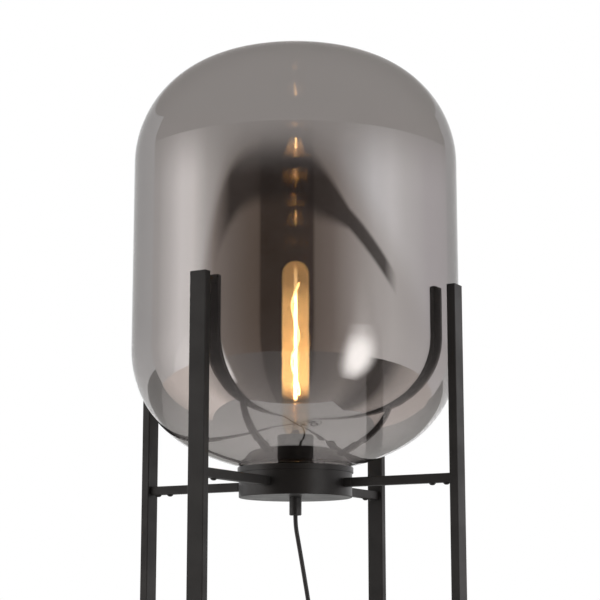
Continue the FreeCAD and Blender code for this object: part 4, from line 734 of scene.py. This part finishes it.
filament_material, burn_nodes, burn_shader = start_material(
    "burning_filament", {"Base Color": (1.0, 0.72, 0.42, 1), "Roughness": 0.6, "Emission Strength": 40})
burn_place = add_node(burn_nodes, "TexCoord")
burn_spots = add_node(burn_nodes, "TexNoise", {"Scale": 300})
burn_heat = add_node(burn_nodes, "ValToRGB")
set_tones(burn_heat, (0, (1.0, 0.46, 0.13, 1)), (1, (1.0, 0.66, 0.30, 1)))
join(burn_place, "Object", burn_spots, "Vector")
join(burn_spots, "Fac", burn_heat, "Fac")
join(burn_heat, "Color", burn_shader, "Emission Color")
dress(filament_material, "filament", "bulb_filament")
dress(steel_material, "zinc_steel", "bulb_supports")


# ---------------------------------------------------------------- wiring inside the gland and the switch
# Two insulated copper cores, one brown and one blue, leave the end of the sheath in the gland and
# run to the lampholder's two contacts. Inside the foot switch they come out of the sheath again.
core_colours = {"brown_core": (0.13, 0.045, 0.018, 1), "blue_core": (0.02, 0.07, 0.26, 1)}
core_materials = {}
for name, colour in core_colours.items():
    core_material, core_nodes, core_shader = start_material(name, {"Base Color": colour})
    core_place = add_node(core_nodes, "TexCoord")
    core_cloud = add_node(core_nodes, "TexNoise", {"Scale": 400})
    core_rough = add_node(core_nodes, "MapRange", {"To Min": 0.3, "To Max": 0.5})
    join(core_place, "Object", core_cloud, "Vector")
    join(core_cloud, "Fac", core_rough, "Value")
    join(core_rough, "Result", core_shader, "Roughness")
    core_materials[name] = core_material

sheath_half, core_half = 0.00245, 0.00095
for name, node, colour, half_thickness, route in (
        ("holder_brown_core", "inner_wires", "brown_core", core_half,
         [(-0.00115, 0, 0.984), (-0.00161, 0, 0.9905), (-0.00138, 0, 0.997), (-0.00035, 0, 1.0045),
          (0, 0, 1.0095)]),
        ("holder_blue_core", "inner_wires", "blue_core", core_half,
         [(0.00115, 0, 0.984), (0.00184, 0, 0.9905), (0.00196, 0, 0.997), (0.0020, 0, 1.0045),
          (0.0032, 0, 1.0082), (0.0132, 0, 1.0082)]),
        ("gland_sheath_end", "cord_sheath_end", None, sheath_half,
         [(0, 0, 0.952), (0, 0, 0.968), (0, 0, 0.984)]),
        ("switch_sheath_in", "foot_switch_wires", None, sheath_half,
         [(0, 0, 0), (0.004, 0, 0), (0.008, 0, 0)]),
        ("switch_sheath_out", "foot_switch_wires", None, sheath_half,
         [(0.054, 0, 0), (0.058, 0, 0), (0.062, 0, 0)]),
        ("switch_brown_in", "foot_switch_wires", "brown_core", core_half,
         [(0.008, 0.00115, 0), (0.013, 0.0013, 0.0002), (0.020, 0.00115, 0)]),
        ("switch_blue_in", "foot_switch_wires", "blue_core", core_half,
         [(0.008, -0.00115, 0), (0.013, -0.0013, 0.0002), (0.020, -0.00115, 0)]),
        ("switch_brown_out", "foot_switch_wires", "brown_core", core_half,
         [(0.042, 0.00115, 0), (0.049, 0.0013, 0.0002), (0.054, 0.00115, 0)]),
        ("switch_blue_out", "foot_switch_wires", "blue_core", core_half,
         [(0.042, -0.00115, 0), (0.049, -0.0013, 0.0002), (0.054, -0.00115, 0)])):
    if node == "foot_switch_wires":
        route = [(switch_entry[0] + x * math.cos(switch_heading) - y * math.sin(switch_heading),
                  switch_entry[1] + x * math.sin(switch_heading) + y * math.cos(switch_heading),
                  switch_height + z) for x, y, z in route]
    wire = draw_round_cord(name, route, half_thickness, steps=12, roundness=4)
    wire.data.materials.append(core_materials[colour] if colour else sheath_material)
    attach(wire, "stand")
    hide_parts(node)


# ---------------------------------------------------------------- plug, its boot, the coil's strap
# A moulded two-pin plug with a ribbed soft boot on the cord and nickel-plated pins. A soft woven
# strap, closed on itself, holds the coil together.
boot_heading = math.radians(265)
boot_end_radius, boot_flare, boot_length = 0.0033, 0.0013, 0.024
rib_count, rib_spacing, rib_rise = 6, 0.0036, 0.00035
bpy.ops.object.select_all(action="DESELECT")
bpy.ops.mesh.primitive_circle_add(vertices=32, radius=boot_end_radius, fill_type="NGON", location=(0, 0, 0))
plug_boot = bpy.context.object
plug_boot.name = "plug_boot"
bpy.ops.object.mode_set(mode="EDIT")
bpy.ops.mesh.select_all(action="SELECT")
boot_rings = []
for rib in range(rib_count):
    start = 0.0012 + rib * rib_spacing
    root = boot_end_radius + boot_flare * start / boot_length
    boot_rings += [(start, root + 0.00015), (start + 0.0003, root + rib_rise),
                   (start + 0.0017, root + rib_rise), (start + 0.0020, root), (start + 0.0032, root)]
boot_rings += [(0.0228, 0.0047), (boot_length, 0.0048)]
reach, girth = 0.0, boot_end_radius
for place, radius in boot_rings:
    bpy.ops.mesh.extrude_region_move(TRANSFORM_OT_translate={"value": (0, 0, place - reach)})
    bpy.ops.transform.resize(value=(radius / girth, radius / girth, 1), center_override=(0, 0, place))
    reach, girth = place, radius
bpy.ops.mesh.select_all(action="SELECT")
bpy.ops.mesh.normals_make_consistent(inside=False)
bpy.ops.object.mode_set(mode="OBJECT")
plug_boot.rotation_euler = (0, math.radians(90), boot_heading)
plug_boot.location = plug_entry
bpy.ops.object.transform_apply(location=True, rotation=True, scale=True)
bpy.ops.object.shade_smooth_by_angle(angle=math.radians(50))
plug_boot.data.materials.append(rubber_material)
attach(plug_boot, "stand")
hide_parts("plug_strain_relief")

strap_low, strap_high = [list(corner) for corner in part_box("coil_tie")]
strap_middle = [(a + b) / 2 for a, b in zip(strap_low, strap_high)]
strap_skin, strap_corner = 0.001, 0.0042
bpy.ops.object.select_all(action="DESELECT")
bpy.ops.mesh.primitive_cube_add(size=1, location=strap_middle)
coil_strap = bpy.context.object
coil_strap.name = "coil_strap"
coil_strap.scale = (strap_high[0] - strap_low[0] - strap_skin, strap_high[1] - strap_low[1],
                    strap_high[2] - strap_low[2] - strap_skin)
bpy.ops.object.transform_apply(location=True, rotation=True, scale=True)
bpy.ops.object.mode_set(mode="EDIT")
bpy.ops.mesh.select_mode(type="FACE")
bpy.ops.mesh.select_all(action="DESELECT")
bpy.ops.object.mode_set(mode="OBJECT")
for face in coil_strap.data.polygons:
    face.select = abs(face.normal.y) > 0.5
bpy.ops.object.mode_set(mode="EDIT")
bpy.ops.mesh.delete(type="ONLY_FACE")
bpy.ops.mesh.select_mode(type="EDGE")
bpy.ops.mesh.select_all(action="DESELECT")
bpy.ops.object.mode_set(mode="OBJECT")
for edge in coil_strap.data.edges:
    a, b = [coil_strap.data.vertices[v].co for v in edge.vertices]
    edge.select = abs(a.y - b.y) > strap_skin
bpy.ops.object.mode_set(mode="EDIT")
bpy.ops.mesh.bevel(offset=strap_corner, segments=8, affect="EDGES")
bpy.ops.mesh.select_all(action="SELECT")
bpy.ops.mesh.subdivide(number_cuts=1)
bpy.ops.mesh.normals_make_consistent(inside=False)
bpy.ops.object.mode_set(mode="OBJECT")
strap_wall = coil_strap.modifiers.new("strap_wall", "SOLIDIFY")
strap_wall.thickness = strap_skin
strap_wall.offset = 0
strap_edge = coil_strap.modifiers.new("strap_edge", "BEVEL")
strap_edge.width = 0.0003
strap_edge.segments = 2
strap_edge.angle_limit = math.radians(60)
for modifier in ("strap_wall", "strap_edge"):
    bpy.ops.object.modifier_apply(modifier=modifier)
bpy.ops.object.shade_smooth_by_angle(angle=math.radians(45))

bpy.ops.object.select_all(action="DESELECT")
bpy.ops.mesh.primitive_cube_add(size=1, location=(strap_middle[0] + 0.002, strap_middle[1] + 0.0004,
                                                  strap_high[2] + 0.0006))
strap_end = bpy.context.object
strap_end.name = "strap_end"
end_thickness, end_corner, end_edge = 0.0011, 0.0022, 0.0002
strap_end.scale = (0.015, 0.0078, end_thickness)
bpy.ops.object.transform_apply(location=True, rotation=True, scale=True)
bpy.ops.object.mode_set(mode="EDIT")
bpy.ops.mesh.select_all(action="DESELECT")
bpy.ops.object.mode_set(mode="OBJECT")
for edge in strap_end.data.edges:
    a, b = [strap_end.data.vertices[v].co for v in edge.vertices]
    edge.select = abs(a.z - b.z) > end_thickness / 2
bpy.ops.object.mode_set(mode="EDIT")
bpy.ops.mesh.bevel(offset=end_corner, segments=5, affect="EDGES")
bpy.ops.mesh.select_all(action="SELECT")
bpy.ops.mesh.bevel(offset=end_edge, segments=2, affect="EDGES")
bpy.ops.object.mode_set(mode="OBJECT")
bpy.ops.object.shade_smooth_by_angle(angle=math.radians(45))

weave_material, weave_nodes, weave_shader = start_material("woven_strap", {"Roughness": 0.88})
weave_place = add_node(weave_nodes, "TexCoord")
weave_rows = add_node(weave_nodes, "TexWave", {"Scale": 420, "Distortion": 1.2}, bands_direction="Y")
weave_picks = add_node(weave_nodes, "TexWave", {"Scale": 330, "Distortion": 1.2}, bands_direction="X")
weave_height = add_node(weave_nodes, "Math", operation="MULTIPLY")
weave_tone = add_node(weave_nodes, "ValToRGB")
set_tones(weave_tone, (0, (0.010, 0.010, 0.011, 1)), (1, (0.050, 0.048, 0.047, 1)))
weave_bump = add_node(weave_nodes, "Bump", {"Strength": 0.6, "Distance": 0.0002})
join(weave_place, "Object", weave_rows, "Vector")
join(weave_place, "Object", weave_picks, "Vector")
join(weave_rows, "Fac", weave_height, 0)
join(weave_picks, "Fac", weave_height, 1)
join(weave_height, 0, weave_tone, "Fac")
join(weave_tone, "Color", weave_shader, "Base Color")
join(weave_height, 0, weave_bump, "Height")
join(weave_bump, "Normal", weave_shader, "Normal")
for piece in (coil_strap, strap_end):
    piece.data.materials.append(weave_material)
    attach(piece, "stand")
    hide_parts("coil_tie")

pin_material, pin_nodes, pin_shader = start_material(
    "nickel_plated_pins", {"Metallic": 1, "Base Color": (0.70, 0.69, 0.67, 1)})
pin_place = add_node(pin_nodes, "TexCoord")
pin_scuffs = add_node(pin_nodes, "TexNoise", {"Scale": 500})
pin_rough = add_node(pin_nodes, "MapRange", {"To Min": 0.12, "To Max": 0.35})
join(pin_place, "Object", pin_scuffs, "Vector")
join(pin_scuffs, "Fac", pin_rough, "Value")
join(pin_rough, "Result", pin_shader, "Roughness")
dress(pin_material, "plug_pins_metal", "plug_pins")
